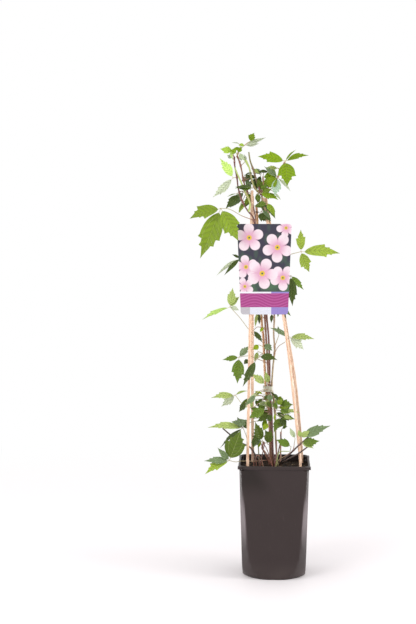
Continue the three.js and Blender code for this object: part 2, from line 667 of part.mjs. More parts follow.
/** A tapered card that leans on the front canes, with a strap round the left one. */
function labelCard() {
  const { topWidth, bottomWidth, length, corner, thickness, middle, strapHeight, strapThickness } = LABEL;
  const [x, z] = middle;
  const away = CANE.radius + TOUCH_GAP + thickness / 2;
  const card = new THREE.Shape();
  const corners = [[-bottomWidth, -length], [bottomWidth, -length], [topWidth, length], [-topWidth, length]];
  const spots = corners.map(([w, h]) => new THREE.Vector2(w / 2, h / 2));
  spots.forEach((spot, i) => {
    const before = spots[(i + 3) % 4].clone().sub(spot).setLength(corner).add(spot);
    const after = spots[(i + 1) % 4].clone().sub(spot).setLength(corner).add(spot);
    if (i === 0) card.moveTo(before.x, before.y);
    else card.lineTo(before.x, before.y);
    card.quadraticCurveTo(spot.x, spot.y, after.x, after.y);
  });
  card.closePath();
  const sheet = new THREE.ExtrudeGeometry(card, { depth: thickness, bevelEnabled: false, curveSegments: 4 });
  sheet.translate(0, 0, -thickness / 2);
  sheet.rotateX(Math.PI / 2 - Math.atan(CANE_LEAN));
  sheet.translate(x, frontCaneY(z) - away, z);
  const strapZ = z + LABEL.strapRise;
  const inner = CANE.radius + TOUCH_GAP;
  const strap = new THREE.Shape().absarc(0, 0, inner + strapThickness, 0, 2 * Math.PI);
  strap.holes.push(new THREE.Path().absarc(0, 0, inner, 0, 2 * Math.PI));
  const loop = new THREE.ExtrudeGeometry(strap, { depth: strapHeight, bevelEnabled: false, curveSegments: 8 });
  loop.rotateX(-Math.atan(CANE_LEAN));
  loop.translate(leftCaneX(strapZ), frontCaneY(strapZ), strapZ);
  return union([toSolid(sheet), toSolid(loop)]);
}

function leftCaneX(z) {
  const [, , low, high] = CANES.cane_front_left;
  return THREE.MathUtils.lerp(low[0], high[0], (z - low[2]) / (high[2] - low[2]));
}

/** Every leafy shoot. Its leaflets stop short of the stems, canes and leaflets of the other nodes. */
function leafyShoots(fixed) {
  const names = Object.keys(SHOOTS);
  const fatStems = names.map((name) => union(stemsOf(SHOOTS[name], TOUCH_GAP)));
  const fatBlades = names.map((name) => union(bladesOf(SHOOTS[name], TOUCH_GAP)));
  return names.map((name, i) => {
    const others = [...fixed, ...fatStems.filter((_, j) => j !== i), ...fatBlades.slice(0, i)];
    const leaflets = union(bladesOf(SHOOTS[name], 0)).subtract(union(others));
    const shoot = union([...stemsOf(SHOOTS[name], 0), leaflets]);
    return { name, solid: mainBody(shoot.simplify(SMOOTHING)) };
  });
}

const MATERIALS = {
  pot: { color: 0x4b4141, roughness: 0.55 },
  soil: { color: 0x241c17, roughness: 1 },
  cane: { color: 0xdcab84, roughness: 0.65 },
  bamboo: { color: 0xb98452, roughness: 0.6 },
  tape: { color: 0xb9bea6, roughness: 0.5 },
  wire: { color: 0x4a3222, roughness: 0.6 },
  label: { color: 0x5a5a78, roughness: 0.35 },
  leaf: { color: 0x5f8f28, roughness: 0.6 },
};

function addMesh(group, name, solid, material) {
  const look = new THREE.MeshStandardMaterial({ ...MATERIALS[material], metalness: 0 });
  const mesh = new THREE.Mesh(toGeometry(solid), look);
  mesh.name = name;
  group.add(mesh);
}

const plant = new THREE.Group();
const standing = [
  ...canes(TOUCH_GAP).map(({ solid }) => solid),
  bamboo(TOUCH_GAP),
  ...Object.values(SHOOTS).flatMap((shoot) => stemsOf(shoot, TOUCH_GAP)),
];
addMesh(plant, "pot", potSolid(), "pot");
addMesh(plant, "soil", mainBody(soilBlock().subtract(union(standing))), "soil");
for (const { name, solid } of canes(0)) addMesh(plant, name, solid, "cane");
addMesh(plant, "cane_bamboo", bamboo(0), "bamboo");
addMesh(plant, "stem_tape", tapeBand(), "tape");
addMesh(plant, "wire_ring", wireRing(), "wire");
addMesh(plant, "label", labelCard(), "label");
const fixed = [...canes(TOUCH_GAP).map(({ solid }) => solid), bamboo(TOUCH_GAP), tapeBand(), labelCard()];
for (const { name, solid } of leafyShoots(fixed)) addMesh(plant, name, solid, "leaf");

export default plant;
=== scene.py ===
"""Looks of a potted anemone clematis that climbs a pyramid of canes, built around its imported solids."""

import logging
import math
import random
from dataclasses import dataclass, field
from enum import Enum
from typing import Callable, Sequence, Union

import bmesh
import bpy
import numpy as np
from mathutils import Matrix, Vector


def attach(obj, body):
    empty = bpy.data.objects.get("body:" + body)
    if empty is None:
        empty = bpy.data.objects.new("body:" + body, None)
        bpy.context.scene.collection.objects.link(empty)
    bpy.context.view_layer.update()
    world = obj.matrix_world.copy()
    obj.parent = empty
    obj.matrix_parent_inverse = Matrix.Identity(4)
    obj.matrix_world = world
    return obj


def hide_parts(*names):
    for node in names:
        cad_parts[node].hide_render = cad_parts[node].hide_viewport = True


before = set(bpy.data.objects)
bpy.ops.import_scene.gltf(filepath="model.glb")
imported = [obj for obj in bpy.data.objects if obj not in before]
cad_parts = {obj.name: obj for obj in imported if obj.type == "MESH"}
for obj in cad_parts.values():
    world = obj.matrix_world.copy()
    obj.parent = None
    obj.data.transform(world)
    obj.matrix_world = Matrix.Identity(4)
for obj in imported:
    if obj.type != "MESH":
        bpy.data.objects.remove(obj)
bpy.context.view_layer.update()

MM = 0.001
SAME_POINT = 1e-6  # metres
FULL_TURN = 2 * math.pi
LOG = logging.getLogger("clematis")
Point = tuple[float, float, float]
Colour = tuple[float, float, float]
Piece = bpy.types.Object
Material = bpy.types.Material


def linear(red: int, green: int, blue: int) -> Colour:
    """The linear colour of three display values from 0 to 255."""
    shares = (value / 255 for value in (red, green, blue))
    return tuple(s / 12.92 if s <= 0.04045 else ((s + 0.055) / 1.055) ** 2.4 for s in shares)


def blended(low: Sequence[float], high: Sequence[float], share: float) -> tuple[float, ...]:
    """The mixture of two colours or points.

    Args:
        low: What stands at share 0.
        high: What stands at share 1.
        share: How far from low to high.

    Returns:
        The mixture, with as many numbers as low has.
    """
    return tuple(a + (b - a) * share for a, b in zip(low, high))


class Face(Enum):
    """Where a leaflet's upper side looks."""

    FRONT = (0, -1, 0.3)
    TILT = (0, -0.75, 0.7)
    UP = (0, -0.4, 1)
    UNDER = (0, 1, 0.35)
    REAR = (0, 0.8, 0.7)
    LEFT = (-1, -0.5, 0.4)
    RIGHT = (1, -0.5, 0.4)


class Edge(Enum):
    """A leaflet's outline: rows of the share of its length, then of its half width on the left and right."""

    PLAIN = (
        (0, 0.03, 0.03), (0.03, 0.23, 0.23), (0.08, 0.48, 0.46), (0.15, 0.72, 0.7), (0.23, 0.9, 0.88),
        (0.32, 1, 0.98), (0.4, 0.99, 1), (0.45, 0.95, 0.98), (0.5, 0.92, 0.95), (0.55, 0.94, 0.9),
        (0.565, 0.76, 0.86), (0.63, 0.7, 0.85), (0.645, 0.67, 0.64), (0.7, 0.61, 0.58), (0.76, 0.46, 0.46),
        (0.82, 0.32, 0.32), (0.88, 0.19, 0.19), (0.94, 0.08, 0.08), (1, 0, 0),
    )
    TOOTHED = (
        (0, 0.03, 0.03), (0.03, 0.22, 0.2), (0.08, 0.45, 0.42), (0.15, 0.67, 0.65), (0.23, 0.85, 0.83),
        (0.31, 0.96, 0.94), (0.39, 1, 0.98), (0.46, 1.01, 1), (0.525, 1.08, 0.98), (0.54, 0.72, 0.97),
        (0.6, 0.7, 1.06), (0.615, 0.71, 0.66), (0.68, 0.76, 0.6), (0.695, 0.45, 0.6), (0.755, 0.39, 0.66),
        (0.77, 0.36, 0.35), (0.84, 0.23, 0.23), (0.92, 0.1, 0.1), (1, 0, 0),
    )
    LOBED = (
        (0, 0.03, 0.03), (0.03, 0.2, 0.22), (0.08, 0.42, 0.44), (0.15, 0.62, 0.64), (0.24, 0.82, 0.82),
        (0.33, 0.94, 0.93), (0.42, 1.01, 0.99), (0.49, 1.05, 1.01), (0.56, 1.14, 1.02), (0.575, 0.66, 1.04),
        (0.63, 0.62, 1.12), (0.645, 0.63, 0.6), (0.7, 0.7, 0.54), (0.715, 0.47, 0.54), (0.77, 0.42, 0.6),
        (0.785, 0.4, 0.38), (0.84, 0.28, 0.27), (0.92, 0.12, 0.12), (1, 0, 0),
    )


class Tone(Enum):
    """A leaflet's colours: its upper side and its underside."""

    BRIGHT = (linear(120, 150, 4), linear(176, 194, 118))
    LIME = (linear(168, 200, 70), linear(196, 214, 138))
    PALE_LIME = (linear(184, 216, 112), linear(204, 222, 158))
    SPRING = (linear(146, 168, 58), linear(186, 200, 138))
    YELLOW = (linear(150, 174, 24), linear(188, 202, 104))
    LIGHT = (linear(164, 182, 102), linear(192, 204, 156))
    FRESH = (linear(118, 142, 34), linear(166, 184, 118))
    MID = (linear(96, 122, 36), linear(150, 170, 112))
    FERN = (linear(82, 102, 26), linear(138, 158, 102))
    DARK = (linear(66, 84, 30), linear(124, 142, 100))
    GREY = (linear(112, 132, 92), linear(166, 180, 148))
    PALE = (linear(182, 196, 158), linear(196, 206, 176))
    MINT = (linear(144, 174, 142), linear(168, 192, 168))


class Bark(Enum):
    """A stem's colour."""

    PURPLE = linear(92, 50, 52)
    PLUM = linear(126, 82, 82)
    BROWN = linear(136, 94, 66)
    RED = linear(142, 88, 78)
    PINK = linear(186, 142, 122)
    DARK = linear(78, 60, 52)
    OLIVE = linear(142, 140, 92)
    LIME = linear(178, 196, 112)


@dataclass(frozen=True)
class Leaflet:
    """One leaflet in millimetres: its tip, its greatest width, its colours, its outline and its way round."""

    tip: Point
    width: float
    tone: Tone
    edge: Edge = Edge.PLAIN
    face: Face = Face.FRONT


@dataclass(frozen=True)
class Leaf:
    """A leaf: the route of its petiole in millimetres, and the leaflets that stand at its end."""

    petiole: list[Point]
    leaflets: list[Leaflet]


@dataclass(frozen=True)
class Stem:
    """A stem: its bark at the foot and at the top, its route, and how thick its foot is, in millimetres."""

    foot: Bark
    top: Bark
    route: list[Point]
    girth: float = 1.6


@dataclass(frozen=True)
class Shoot:
    """A shoot under the name of the CAD node that it replaces."""

    name: str
    stems: list[Stem]
    leaves: list[Leaf]


SHOOTS = (
    Shoot("vine_left", [
        Stem(Bark.BROWN, Bark.PURPLE, [
            (-1, 18, 170), (-3, 16, 199), (-6, 12, 227), (-7, 9, 256), (-8, 6, 307), (-11, 1, 350),
            (-13, 1, 398), (-16, 2, 445), (-19, 1, 487), (-26, -1, 552), (-32, -4, 617), (-37, -9, 650),
            (-39, -14.5, 661), (-43, -17, 671), (-51, -16, 680), (-60, -12, 695), (-65, -9, 708),
            (-69, -7, 724), (-71, -5, 741), (-75, -3, 763), (-76, -2, 780),
        ], 1.9),
        Stem(Bark.LIME, Bark.LIME, [
            (-50, -16.5, 679), (-47, -16, 690), (-49, -13, 701), (-57, -11, 717), (-63, -9, 732),
            (-68, -7, 743), (-75, -4, 760),
        ]),
    ], [
        Leaf([(-58, -11, 718), (-51, 0, 721), (-45, 10, 720)], [Leaflet((-56, 6, 742), 10, Tone.GREY)]),
        Leaf([(-54, -12, 711), (-50, -6, 714), (-46, 0, 713)], [
            Leaflet((-55, -6, 696), 9, Tone.BRIGHT, Edge.TOOTHED),
        ]),
        Leaf([(-10, 2, 341), (-19, -1, 344), (-28, -4, 342)], [Leaflet((-40, -8, 338), 7, Tone.FERN)]),
        Leaf([(-8, 6, 302), (-17, 5, 305), (-26, 4, 305)], [Leaflet((-34, 0, 293), 9, Tone.DARK)]),
        Leaf([(-10, 2, 337), (-11, -4, 339), (-12, -10, 337)], [Leaflet((-22, -12, 329), 8, Tone.FERN)]),
        Leaf([(-51, -12, 706), (-48, -4, 706)], [Leaflet((-57, -8, 688), 8, Tone.FRESH)]),
        Leaf([(-61, -11, 698), (-60, -5, 699), (-58, 2, 696)], [Leaflet((-66, -2, 676), 6, Tone.SPRING)]),
        Leaf([(-67, -8, 714), (-63, -2, 717), (-60, 4, 715)], [Leaflet((-84, 0, 686), 15, Tone.GREY)]),
        Leaf([(-76, -2, 780), (-80, -3, 788), (-83, -4, 793)], [
            Leaflet((-79, -8, 774), 5, Tone.PALE_LIME),
        ]),
        Leaf([(-8, 6, 302), (-24, 18, 304), (-40, 30, 301)], [Leaflet((-43, 34, 327), 6, Tone.LIGHT)]),
        Leaf([(-9, 5, 316), (-12, 0, 318), (-16, -4, 316)], [Leaflet((-34, -8, 306), 11, Tone.MID)]),
        Leaf([(-7, 9, 256), (-16, 8, 258), (-25, 6, 256)], [Leaflet((-40, 2, 238), 11, Tone.GREY)]),
        Leaf([(-8, 7, 292), (-29, 1, 293), (-50, -4, 291)], [Leaflet((-63, -8, 278), 9, Tone.GREY)]),
        Leaf([(-10, 4, 328), (-14, -4, 330), (-18, -12, 327)], [
            Leaflet((-8, -14, 320), 9, Tone.LIGHT, Edge.TOOTHED),
        ]),
        Leaf([(-50, -13, 703), (-47, -2, 705), (-44, 8, 704)], [
            Leaflet((-60, 4, 688), 9, Tone.FERN, Edge.TOOTHED),
        ]),
        Leaf([(-60, -12, 696), (-58, -6, 698), (-56, 0, 696)], [Leaflet((-68, -4, 676), 8, Tone.SPRING)]),
        Leaf([(-67, -8, 714), (-62, -1, 717), (-58, 6, 715)], [Leaflet((-76, 2, 695), 10, Tone.MID)]),
        Leaf([(-11, 2, 346), (-22, -14, 348), (-33, -30, 346)], [
            Leaflet((-56, -52, 319), 7, Tone.LIGHT, Edge.PLAIN, Face.UNDER),
        ]),
        Leaf([(-10, 3, 333), (-30, 0, 335), (-50, -2, 332)], [
            Leaflet((-65, -6, 307), 8, Tone.FERN, Edge.TOOTHED),
        ]),
        Leaf([(-10, 2, 341), (-19, -2, 344), (-28, -6, 342)], [Leaflet((-48, -14, 331), 7, Tone.LIGHT)]),
        Leaf([(-10, 4, 328), (-16, 3, 331), (-22, 2, 330)], [Leaflet((-36, -2, 319), 6, Tone.FERN)]),
        Leaf([(-8, 7, 287), (-28, 1, 288), (-48, -6, 285)], [
            Leaflet((-81, -16, 289), 14, Tone.GREY, Edge.LOBED),
        ]),
        Leaf([(-9, 4, 324), (-12, -5, 327), (-15, -14, 326)], [Leaflet((-6, -18, 314), 9, Tone.FERN)]),
        Leaf([(-9, 4, 324), (-22, 10, 327), (-35, 16, 326)], [Leaflet((-28, 12, 311), 7, Tone.DARK)]),
        Leaf([(-76, -2, 779), (-82, -5, 788)], [
            Leaflet((-102, -10, 794), 13, Tone.LIME, Edge.LOBED), Leaflet((-89, -7, 800), 5, Tone.LIME),
        ]),
        Leaf([(-75, -3, 770), (-79, -6, 778)], [
            Leaflet((-89, -9, 783), 9, Tone.GREY, Edge.PLAIN, Face.UNDER),
        ]),
        Leaf([(-71, -5, 742), (-78, -9, 741)], [
            Leaflet((-103, -14, 777), 17, Tone.PALE_LIME, Edge.TOOTHED),
            Leaflet((-116, -20, 705), 15, Tone.PALE, Edge.TOOTHED, Face.UNDER),
        ]),
        Leaf([(-67, -8, 714), (-72, -12, 712)], [
            Leaflet((-89, -15, 706), 4, Tone.MID, Edge.PLAIN, Face.UP),
        ]),
        Leaf([(-64, -9.5, 704), (-66, -5, 711)], [Leaflet((-92, -2, 684), 16, Tone.DARK, Edge.TOOTHED)]),
        Leaf([(-39.5, -15, 663), (-57, -18, 669), (-66, -20, 673), (-84, -22, 683), (-101, -26, 685)], [
            Leaflet((-158, -34, 666), 32, Tone.FRESH, Edge.LOBED, Face.TILT),
            Leaflet((-139, -30, 593), 38, Tone.FRESH, Edge.TOOTHED),
            Leaflet((-69, -33, 625), 31, Tone.FRESH, Edge.LOBED),
        ]),
        Leaf([(-29, -2.6, 586), (-47, -5, 593), (-65, -10, 593)], [
            Leaflet((-95, -16, 561), 8, Tone.DARK),
            Leaflet((-109, -8, 560), 7, Tone.PALE, Edge.PLAIN, Face.UNDER),
            Leaflet((-80, -8, 600), 5, Tone.DARK),
        ]),
        Leaf([
            (-16, 2, 440), (-22, -3, 441), (-35, -3, 446), (-50, -6, 462), (-65, -12, 482), (-84, -18, 503),
        ], [
            Leaflet((-79, -20, 539), 16, Tone.LIGHT, Edge.TOOTHED),
            Leaflet((-66, -14, 522), 10, Tone.LIGHT),
            Leaflet((-135, -28, 480), 15, Tone.PALE_LIME, Edge.TOOTHED, Face.UP),
            Leaflet((-67, -24, 497), 9, Tone.PALE, Edge.PLAIN, Face.UNDER),
        ]),
        Leaf([(-13, 1, 395), (-20, -4, 400), (-33, -6, 405), (-50, -10, 411), (-67, -14, 409)], [
            Leaflet((-98, -22, 405), 13, Tone.MID, Edge.TOOTHED, Face.TILT),
            Leaflet((-70, -18, 360), 23, Tone.MID, Edge.TOOTHED),
            Leaflet((-47, -14, 431), 13, Tone.GREY, Edge.TOOTHED, Face.TILT),
        ]),
        Leaf([(-45, -8.8, 409.4), (-49, -12, 405)], [Leaflet((-58, -15, 396), 9, Tone.DARK)]),
        Leaf([(-13, 1, 405), (-20, -8, 410), (-28, -24, 411), (-36, -41, 407)], [
            Leaflet((-61, -50, 358), 15, Tone.DARK, Edge.TOOTHED, Face.TILT),
        ]),
        Leaf([
            (-10, 3, 329), (-23, 0, 326), (-38, -6, 315), (-52, -12, 315), (-62, -16, 323), (-74, -20, 339),
        ], [
            Leaflet((-119, -30, 335), 15, Tone.LIGHT, Edge.TOOTHED, Face.TILT),
            Leaflet((-100, -24, 318), 15, Tone.PALE, Edge.TOOTHED, Face.UNDER),
            Leaflet((-50, -16, 346), 7, Tone.LIGHT, Edge.PLAIN, Face.UP),
        ]),
        Leaf([(-52, -12, 315), (-54, -15, 325)], [Leaflet((-67, -20, 307), 11, Tone.DARK, Edge.TOOTHED)]),
        Leaf([(-9, 4, 319), (-24, -20, 337), (-36, -43, 342)], [Leaflet((-57, -53, 324), 10, Tone.GREY)]),
        Leaf([(-18.5, 1, 479), (-32, -6, 493)], [
            Leaflet((-37, -12, 464), 6, Tone.LIGHT), Leaflet((-29, -7, 469), 7, Tone.DARK),
        ]),
        Leaf([(-17, 1.5, 459), (-31, -6, 465), (-40, -10, 459)], [
            Leaflet((-23, -14, 436), 9, Tone.DARK, Edge.TOOTHED),
        ]),
        Leaf([(-17, 1.5, 461), (-22, -5, 464)], [Leaflet((-28, -8, 455), 6, Tone.YELLOW)]),
        Leaf([(-15.5, 2, 433), (-20, -8, 433)], [Leaflet((-5, -14, 421), 13, Tone.GREY, Edge.TOOTHED)]),
        Leaf([(-14.5, 2, 422), (-22, -8, 428), (-30, -12, 432)], [
            Leaflet((-42, -18, 423), 10, Tone.YELLOW, Edge.TOOTHED),
        ]),
        Leaf([(-14, 1.5, 412), (-24, -14, 415), (-30, -17, 411)], [
            Leaflet((4, -26, 405), 17, Tone.DARK, Edge.TOOTHED, Face.TILT),
        ]),
        Leaf([(-11.4, 1, 357), (-18, -9, 358)], [Leaflet((-44, -18, 379), 14, Tone.LIGHT, Edge.TOOTHED)]),
        Leaf([(-10, 2, 337), (-22, -6, 339)], [
            Leaflet((-38, -12, 345), 5, Tone.YELLOW, Edge.PLAIN, Face.TILT),
        ]),
        Leaf([(-8.3, 5, 312), (-13, -10, 317), (-17, -16, 313)], [
            Leaflet((-50, -26, 295), 18, Tone.MID, Edge.TOOTHED),
        ]),
        Leaf([(-8, 6, 302), (-12, -8, 302)], [
            Leaflet((-33, -12, 288), 13, Tone.FERN, Edge.TOOTHED), Leaflet((-8, -15, 287), 12, Tone.DARK),
        ]),
        Leaf([(-7.5, 7.5, 280), (-12, -10, 285)], [Leaflet((-22, -13, 271), 10, Tone.YELLOW)]),
        Leaf([(-7, 9, 249), (-16, -2, 246), (-23, -12, 252)], [
            Leaflet((-37, -24, 290), 18, Tone.FERN, Edge.TOOTHED),
        ]),
        Leaf([(-6.5, 10.5, 240), (-14, -12, 246)], [Leaflet((-6, -22, 275), 16, Tone.FERN, Edge.TOOTHED)]),
    ]),
    Shoot("vine_middle", [
        Stem(Bark.PLUM, Bark.BROWN, [
            (3, 24, 170), (0.5, 20, 200), (-2, 16, 226), (-3.2, 13, 255), (-5, 10, 306), (-8.6, 6, 349),
            (-9, 7, 398), (-11, 8, 445), (-15, 8, 486), (-24, 9, 580), (-31, 10, 625), (-35, 10, 660),
            (-41, 7, 691), (-47, 4, 704), (-52, 3, 717), (-57, 2, 730), (-60, 1, 742), (-62, 0, 754),
            (-66, 0, 770), (-71, -1, 782),
        ], 2.2),
    ], [
        Leaf([(-53, 3, 720), (-48, -4, 723), (-43, -10, 722)], [Leaflet((-74, -14, 724), 10, Tone.MID)]),
        Leaf([(-71, -1, 782), (-67, 0, 790), (-63, 0, 795)], [Leaflet((-81, -4, 792), 7, Tone.BRIGHT)]),
        Leaf([(-71, -1, 782), (-67, -2, 786)], [Leaflet((-57, -6, 773), 10, Tone.PALE)]),
        Leaf([(-60, 1, 741), (-52, 5, 745), (-43, 8, 746)], [Leaflet((-57, 4, 737), 10, Tone.GREY)]),
        Leaf([(-4, 11, 310), (-9, 14, 312), (-14, 16, 309)], [Leaflet((-17, 14, 291), 12, Tone.FERN)]),
        Leaf([(-1, 14, 252), (-6, 10, 252)], [Leaflet((-18, 6, 270), 11, Tone.MID, Edge.TOOTHED)]),
        Leaf([(-58, 2, 736), (-46, 4, 741), (-34, 6, 742)], [Leaflet((-58, 2, 747), 7, Tone.DARK)]),
        Leaf([(-59, 1, 738), (-52, 6, 742), (-44, 10, 742)], [Leaflet((-60, 6, 736), 9, Tone.GREY)]),
        Leaf([(-52, 3, 718), (-47, -3, 722), (-42, -8, 722)], [
            Leaflet((-75, -16, 724), 8, Tone.DARK, Edge.TOOTHED),
        ]),
        Leaf([(-3, 12, 301), (-15, 13, 304), (-28, 14, 303)], [
            Leaflet((-45, 12, 311), 10, Tone.MID, Edge.TOOTHED),
        ]),
        Leaf([(-2, 13, 291), (-8, 7, 293), (-15, 2, 291)], [Leaflet((-22, -2, 272), 9, Tone.BRIGHT)]),
        Leaf([(-1, 14, 255), (-13, 12, 257), (-25, 10, 255)], [Leaflet((-43, 6, 257), 7, Tone.FERN)]),
        Leaf([(-70, -1, 780), (-72, -4, 787)], [Leaflet((-83, -6, 793), 11, Tone.BRIGHT, Edge.TOOTHED)]),
        Leaf([(-71, -1, 781), (-70, -2, 788)], [Leaflet((-62, -5, 799), 9, Tone.BRIGHT, Edge.TOOTHED)]),
        Leaf([(-66, 0, 769), (-63, 2, 773)], [
            Leaflet((-64, 4, 787), 9, Tone.PALE, Edge.PLAIN, Face.UNDER),
        ]),
        Leaf([(-64, 0, 763), (-55, 3, 772)], [
            Leaflet((-57, 5, 785), 5, Tone.PALE, Edge.PLAIN, Face.UNDER),
        ]),
        Leaf([(-71, -1, 781), (-64, -2, 794), (-57, -3, 801)], [
            Leaflet((-18, -8, 815), 8, Tone.PALE, Edge.PLAIN, Face.UNDER),
            Leaflet((-30, -9, 804), 8, Tone.PALE, Edge.TOOTHED, Face.UNDER),
            Leaflet((-69, -6, 801), 6, Tone.LIME),
        ]),
        Leaf([(-57, -3, 801), (-51, -3, 806), (-47, -4, 808)], [
            Leaflet((-39, -4, 824), 13, Tone.BRIGHT, Edge.TOOTHED),
        ]),
        Leaf([(-64, -2, 794), (-66, 6, 804)], [Leaflet((-80, 12, 807), 5, Tone.PALE, Edge.PLAIN, Face.UP)]),
        Leaf([(-47, 4, 704), (-54, 8, 726), (-47, 9, 741)], [
            Leaflet((-63, 12, 735), 10, Tone.GREY, Edge.PLAIN, Face.UNDER),
        ]),
        Leaf([(-43, 6, 695), (-49, -2, 702)], [Leaflet((-55, -6, 687), 8, Tone.MID)]),
        Leaf([(-52, 3, 717), (-60, -3, 700)], [
            Leaflet((-65, -4, 679), 4, Tone.LIGHT, Edge.PLAIN, Face.LEFT),
        ]),
        Leaf([(-9.2, 7, 405), (-19, 12, 412), (-31, 4, 418)], [Leaflet((-38, 0, 399), 8, Tone.LIGHT)]),
        Leaf([(-15, 8, 487), (-12, 22, 505), (-6, 34, 520)], [
            Leaflet((-33, 38, 546), 20, Tone.MID, Edge.TOOTHED, Face.REAR),
            Leaflet((14, 46, 544), 20, Tone.MID, Edge.TOOTHED, Face.REAR),
            Leaflet((-8, 70, 510), 26, Tone.MID, Edge.LOBED, Face.REAR),
        ]),
        Leaf([(-24, 9, 582), (-28, 22, 595), (-32, 32, 606)], [
            Leaflet((-57, 40, 600), 16, Tone.MID, Edge.TOOTHED, Face.REAR),
            Leaflet((-30, 62, 598), 24, Tone.MID, Edge.LOBED, Face.REAR),
            Leaflet((-18, 38, 632), 16, Tone.MID, Edge.TOOTHED, Face.REAR),
        ]),
        Leaf([(-3, 12, 308), (-6, 28, 312), (-8, 38, 314)], [
            Leaflet((-30, 50, 308), 18, Tone.MID, Edge.TOOTHED, Face.REAR),
            Leaflet((14, 50, 316), 18, Tone.MID, Edge.TOOTHED, Face.REAR),
            Leaflet((-8, 70, 300), 24, Tone.MID, Edge.LOBED, Face.REAR),
        ]),
    ]),
    Shoot("vine_right", [
        Stem(Bark.OLIVE, Bark.PINK, [
            (10, 17, 170), (7, 14, 202), (5, 11, 221), (3, 7, 254), (2, 4, 289), (-1, 2, 327), (-5, 2, 349),
            (-3, 0, 389), (0, -1, 421), (-2, -1, 453), (-1, -2, 487), (-5, -3, 571), (-15, -2, 660),
            (-22, -1, 687), (-24, -2, 711), (-13, -3, 723), (3, -5, 740), (10, -6, 754), (17, -8, 770),
        ]),
        Stem(Bark.OLIVE, Bark.LIME, [
            (-23.5, -2, 710), (-36, -4, 720), (-41, -5, 729), (-45, -6, 743), (-47, -6, 754),
            (-49, -5, 762), (-54, -4, 774),
        ]),
        Stem(Bark.LIME, Bark.LIME, [(-49, -5, 761), (-53, -3, 768), (-58, -2, 776)]),
        Stem(Bark.PURPLE, Bark.OLIVE, [
            (-26, -4, 709), (-29, -4, 720), (-34, -3, 733), (-38, -2, 747), (-42, -1, 760), (-46, 0, 771),
            (-48, 1, 781), (-49, 1, 789),
        ]),
        Stem(Bark.OLIVE, Bark.RED, [(-24, -3, 713), (-24, -5, 721), (-22, -7, 731), (-23, -8, 744)], 1.2),
    ], [
        Leaf([(-27, -4, 712), (-27, -9, 714), (-28, -14, 713)], [
            Leaflet((-2, -18, 703), 11, Tone.BRIGHT, Edge.LOBED),
        ]),
        Leaf([(-27, -4, 711), (-31, -9, 713), (-36, -14, 710)], [Leaflet((-30, -18, 694), 10, Tone.FERN)]),
        Leaf([(-29, -4, 720), (-27, -2, 720)], [Leaflet((-33, -6, 740), 11, Tone.FERN)]),
        Leaf([(-24, -3, 715), (-24, -4, 715)], [Leaflet((-17, -8, 731), 13, Tone.MID, Edge.TOOTHED)]),
        Leaf([(-22, -1, 692), (-28, -10, 693), (-33, -18, 691)], [
            Leaflet((-16, -22, 694), 11, Tone.MID, Edge.TOOTHED),
        ]),
        Leaf([(-24, -4, 716), (-26, 0, 717)], [Leaflet((-14, -4, 744), 12, Tone.FRESH, Edge.TOOTHED)]),
        Leaf([(-31, -3, 716), (-34, 4, 715)], [Leaflet((-40, 2, 744), 9, Tone.DARK)]),
        Leaf([(-28, -3, 714), (-28, 3, 717), (-28, 8, 717)], [
            Leaflet((-26, 6, 742), 9, Tone.FERN, Edge.TOOTHED),
        ]),
        Leaf([(-42, -1, 759), (-42, 2, 758)], [Leaflet((-29, -2, 749), 7, Tone.LIGHT)]),
        Leaf([(-23, -1, 697), (-25, -6, 696)], [Leaflet((-14, -10, 674), 11, Tone.GREY)]),
        Leaf([(-20, -1, 679), (-24, -3, 680), (-29, -4, 677)], [
            Leaflet((-10, -10, 658), 15, Tone.FERN, Edge.TOOTHED),
        ]),
        Leaf([(-27, -4, 713), (-32, -12, 713)], [Leaflet((-33, -16, 694), 10, Tone.MID)]),
        Leaf([(-2, 2, 331), (5, -4, 333)], [Leaflet((16, -8, 328), 8, Tone.FRESH, Edge.TOOTHED)]),
        Leaf([(0, 3, 308), (8, -4, 308)], [Leaflet((30, -10, 303), 10, Tone.LIGHT, Edge.TOOTHED)]),
        Leaf([(2, 5, 282), (2, -4, 285), (2, -12, 283)], [Leaflet((17, -16, 281), 8, Tone.FERN)]),
        Leaf([(-39, 0, 749), (-32, 4, 751), (-25, 8, 749)], [Leaflet((-45, 2, 759), 8, Tone.MID)]),
        Leaf([(4, -5, 743), (-4, -3, 749), (-13, 0, 752)], [Leaflet((-32, -6, 754), 6, Tone.DARK)]),
        Leaf([(10, -6, 754), (5, 0, 759), (0, 6, 760)], [
            Leaflet((-19, 0, 726), 20, Tone.BRIGHT, Edge.LOBED),
        ]),
        Leaf([(11, -6, 756), (5, 2, 759)], [Leaflet((-18, -8, 760), 8, Tone.LIGHT, Edge.TOOTHED)]),
        Leaf([(-39, 0, 749), (-32, 6, 750), (-26, 12, 747)], [Leaflet((-35, 10, 720), 10, Tone.DARK)]),
        Leaf([(-43, -5, 735), (-41, 4, 738), (-39, 14, 737)], [Leaflet((-50, 10, 728), 7, Tone.DARK)]),
        Leaf([(-26, -2, 712), (-25, -7, 714), (-25, -12, 713)], [
            Leaflet((-7, -20, 720), 8, Tone.FRESH, Edge.TOOTHED),
        ]),
        Leaf([(-22, -1, 689), (-31, -9, 691), (-40, -16, 689)], [
            Leaflet((-14, -22, 690), 10, Tone.FERN, Edge.TOOTHED),
        ]),
        Leaf([(-23, -1, 697), (-20, -11, 698), (-16, -20, 696)], [
            Leaflet((-1, -26, 666), 13, Tone.FRESH, Edge.PLAIN, Face.TILT),
        ]),
        Leaf([(-21, -1, 682), (-23, -9, 684), (-25, -16, 683)], [Leaflet((-8, -18, 664), 8, Tone.GREY)]),
        Leaf([(-16, -3, 719), (-9, -8, 719), (-2, -14, 714)], [Leaflet((10, -18, 700), 4, Tone.PALE)]),
        Leaf([(-4, 2, 345), (-8, -6, 345)], [Leaflet((7, -12, 326), 3, Tone.DARK)]),
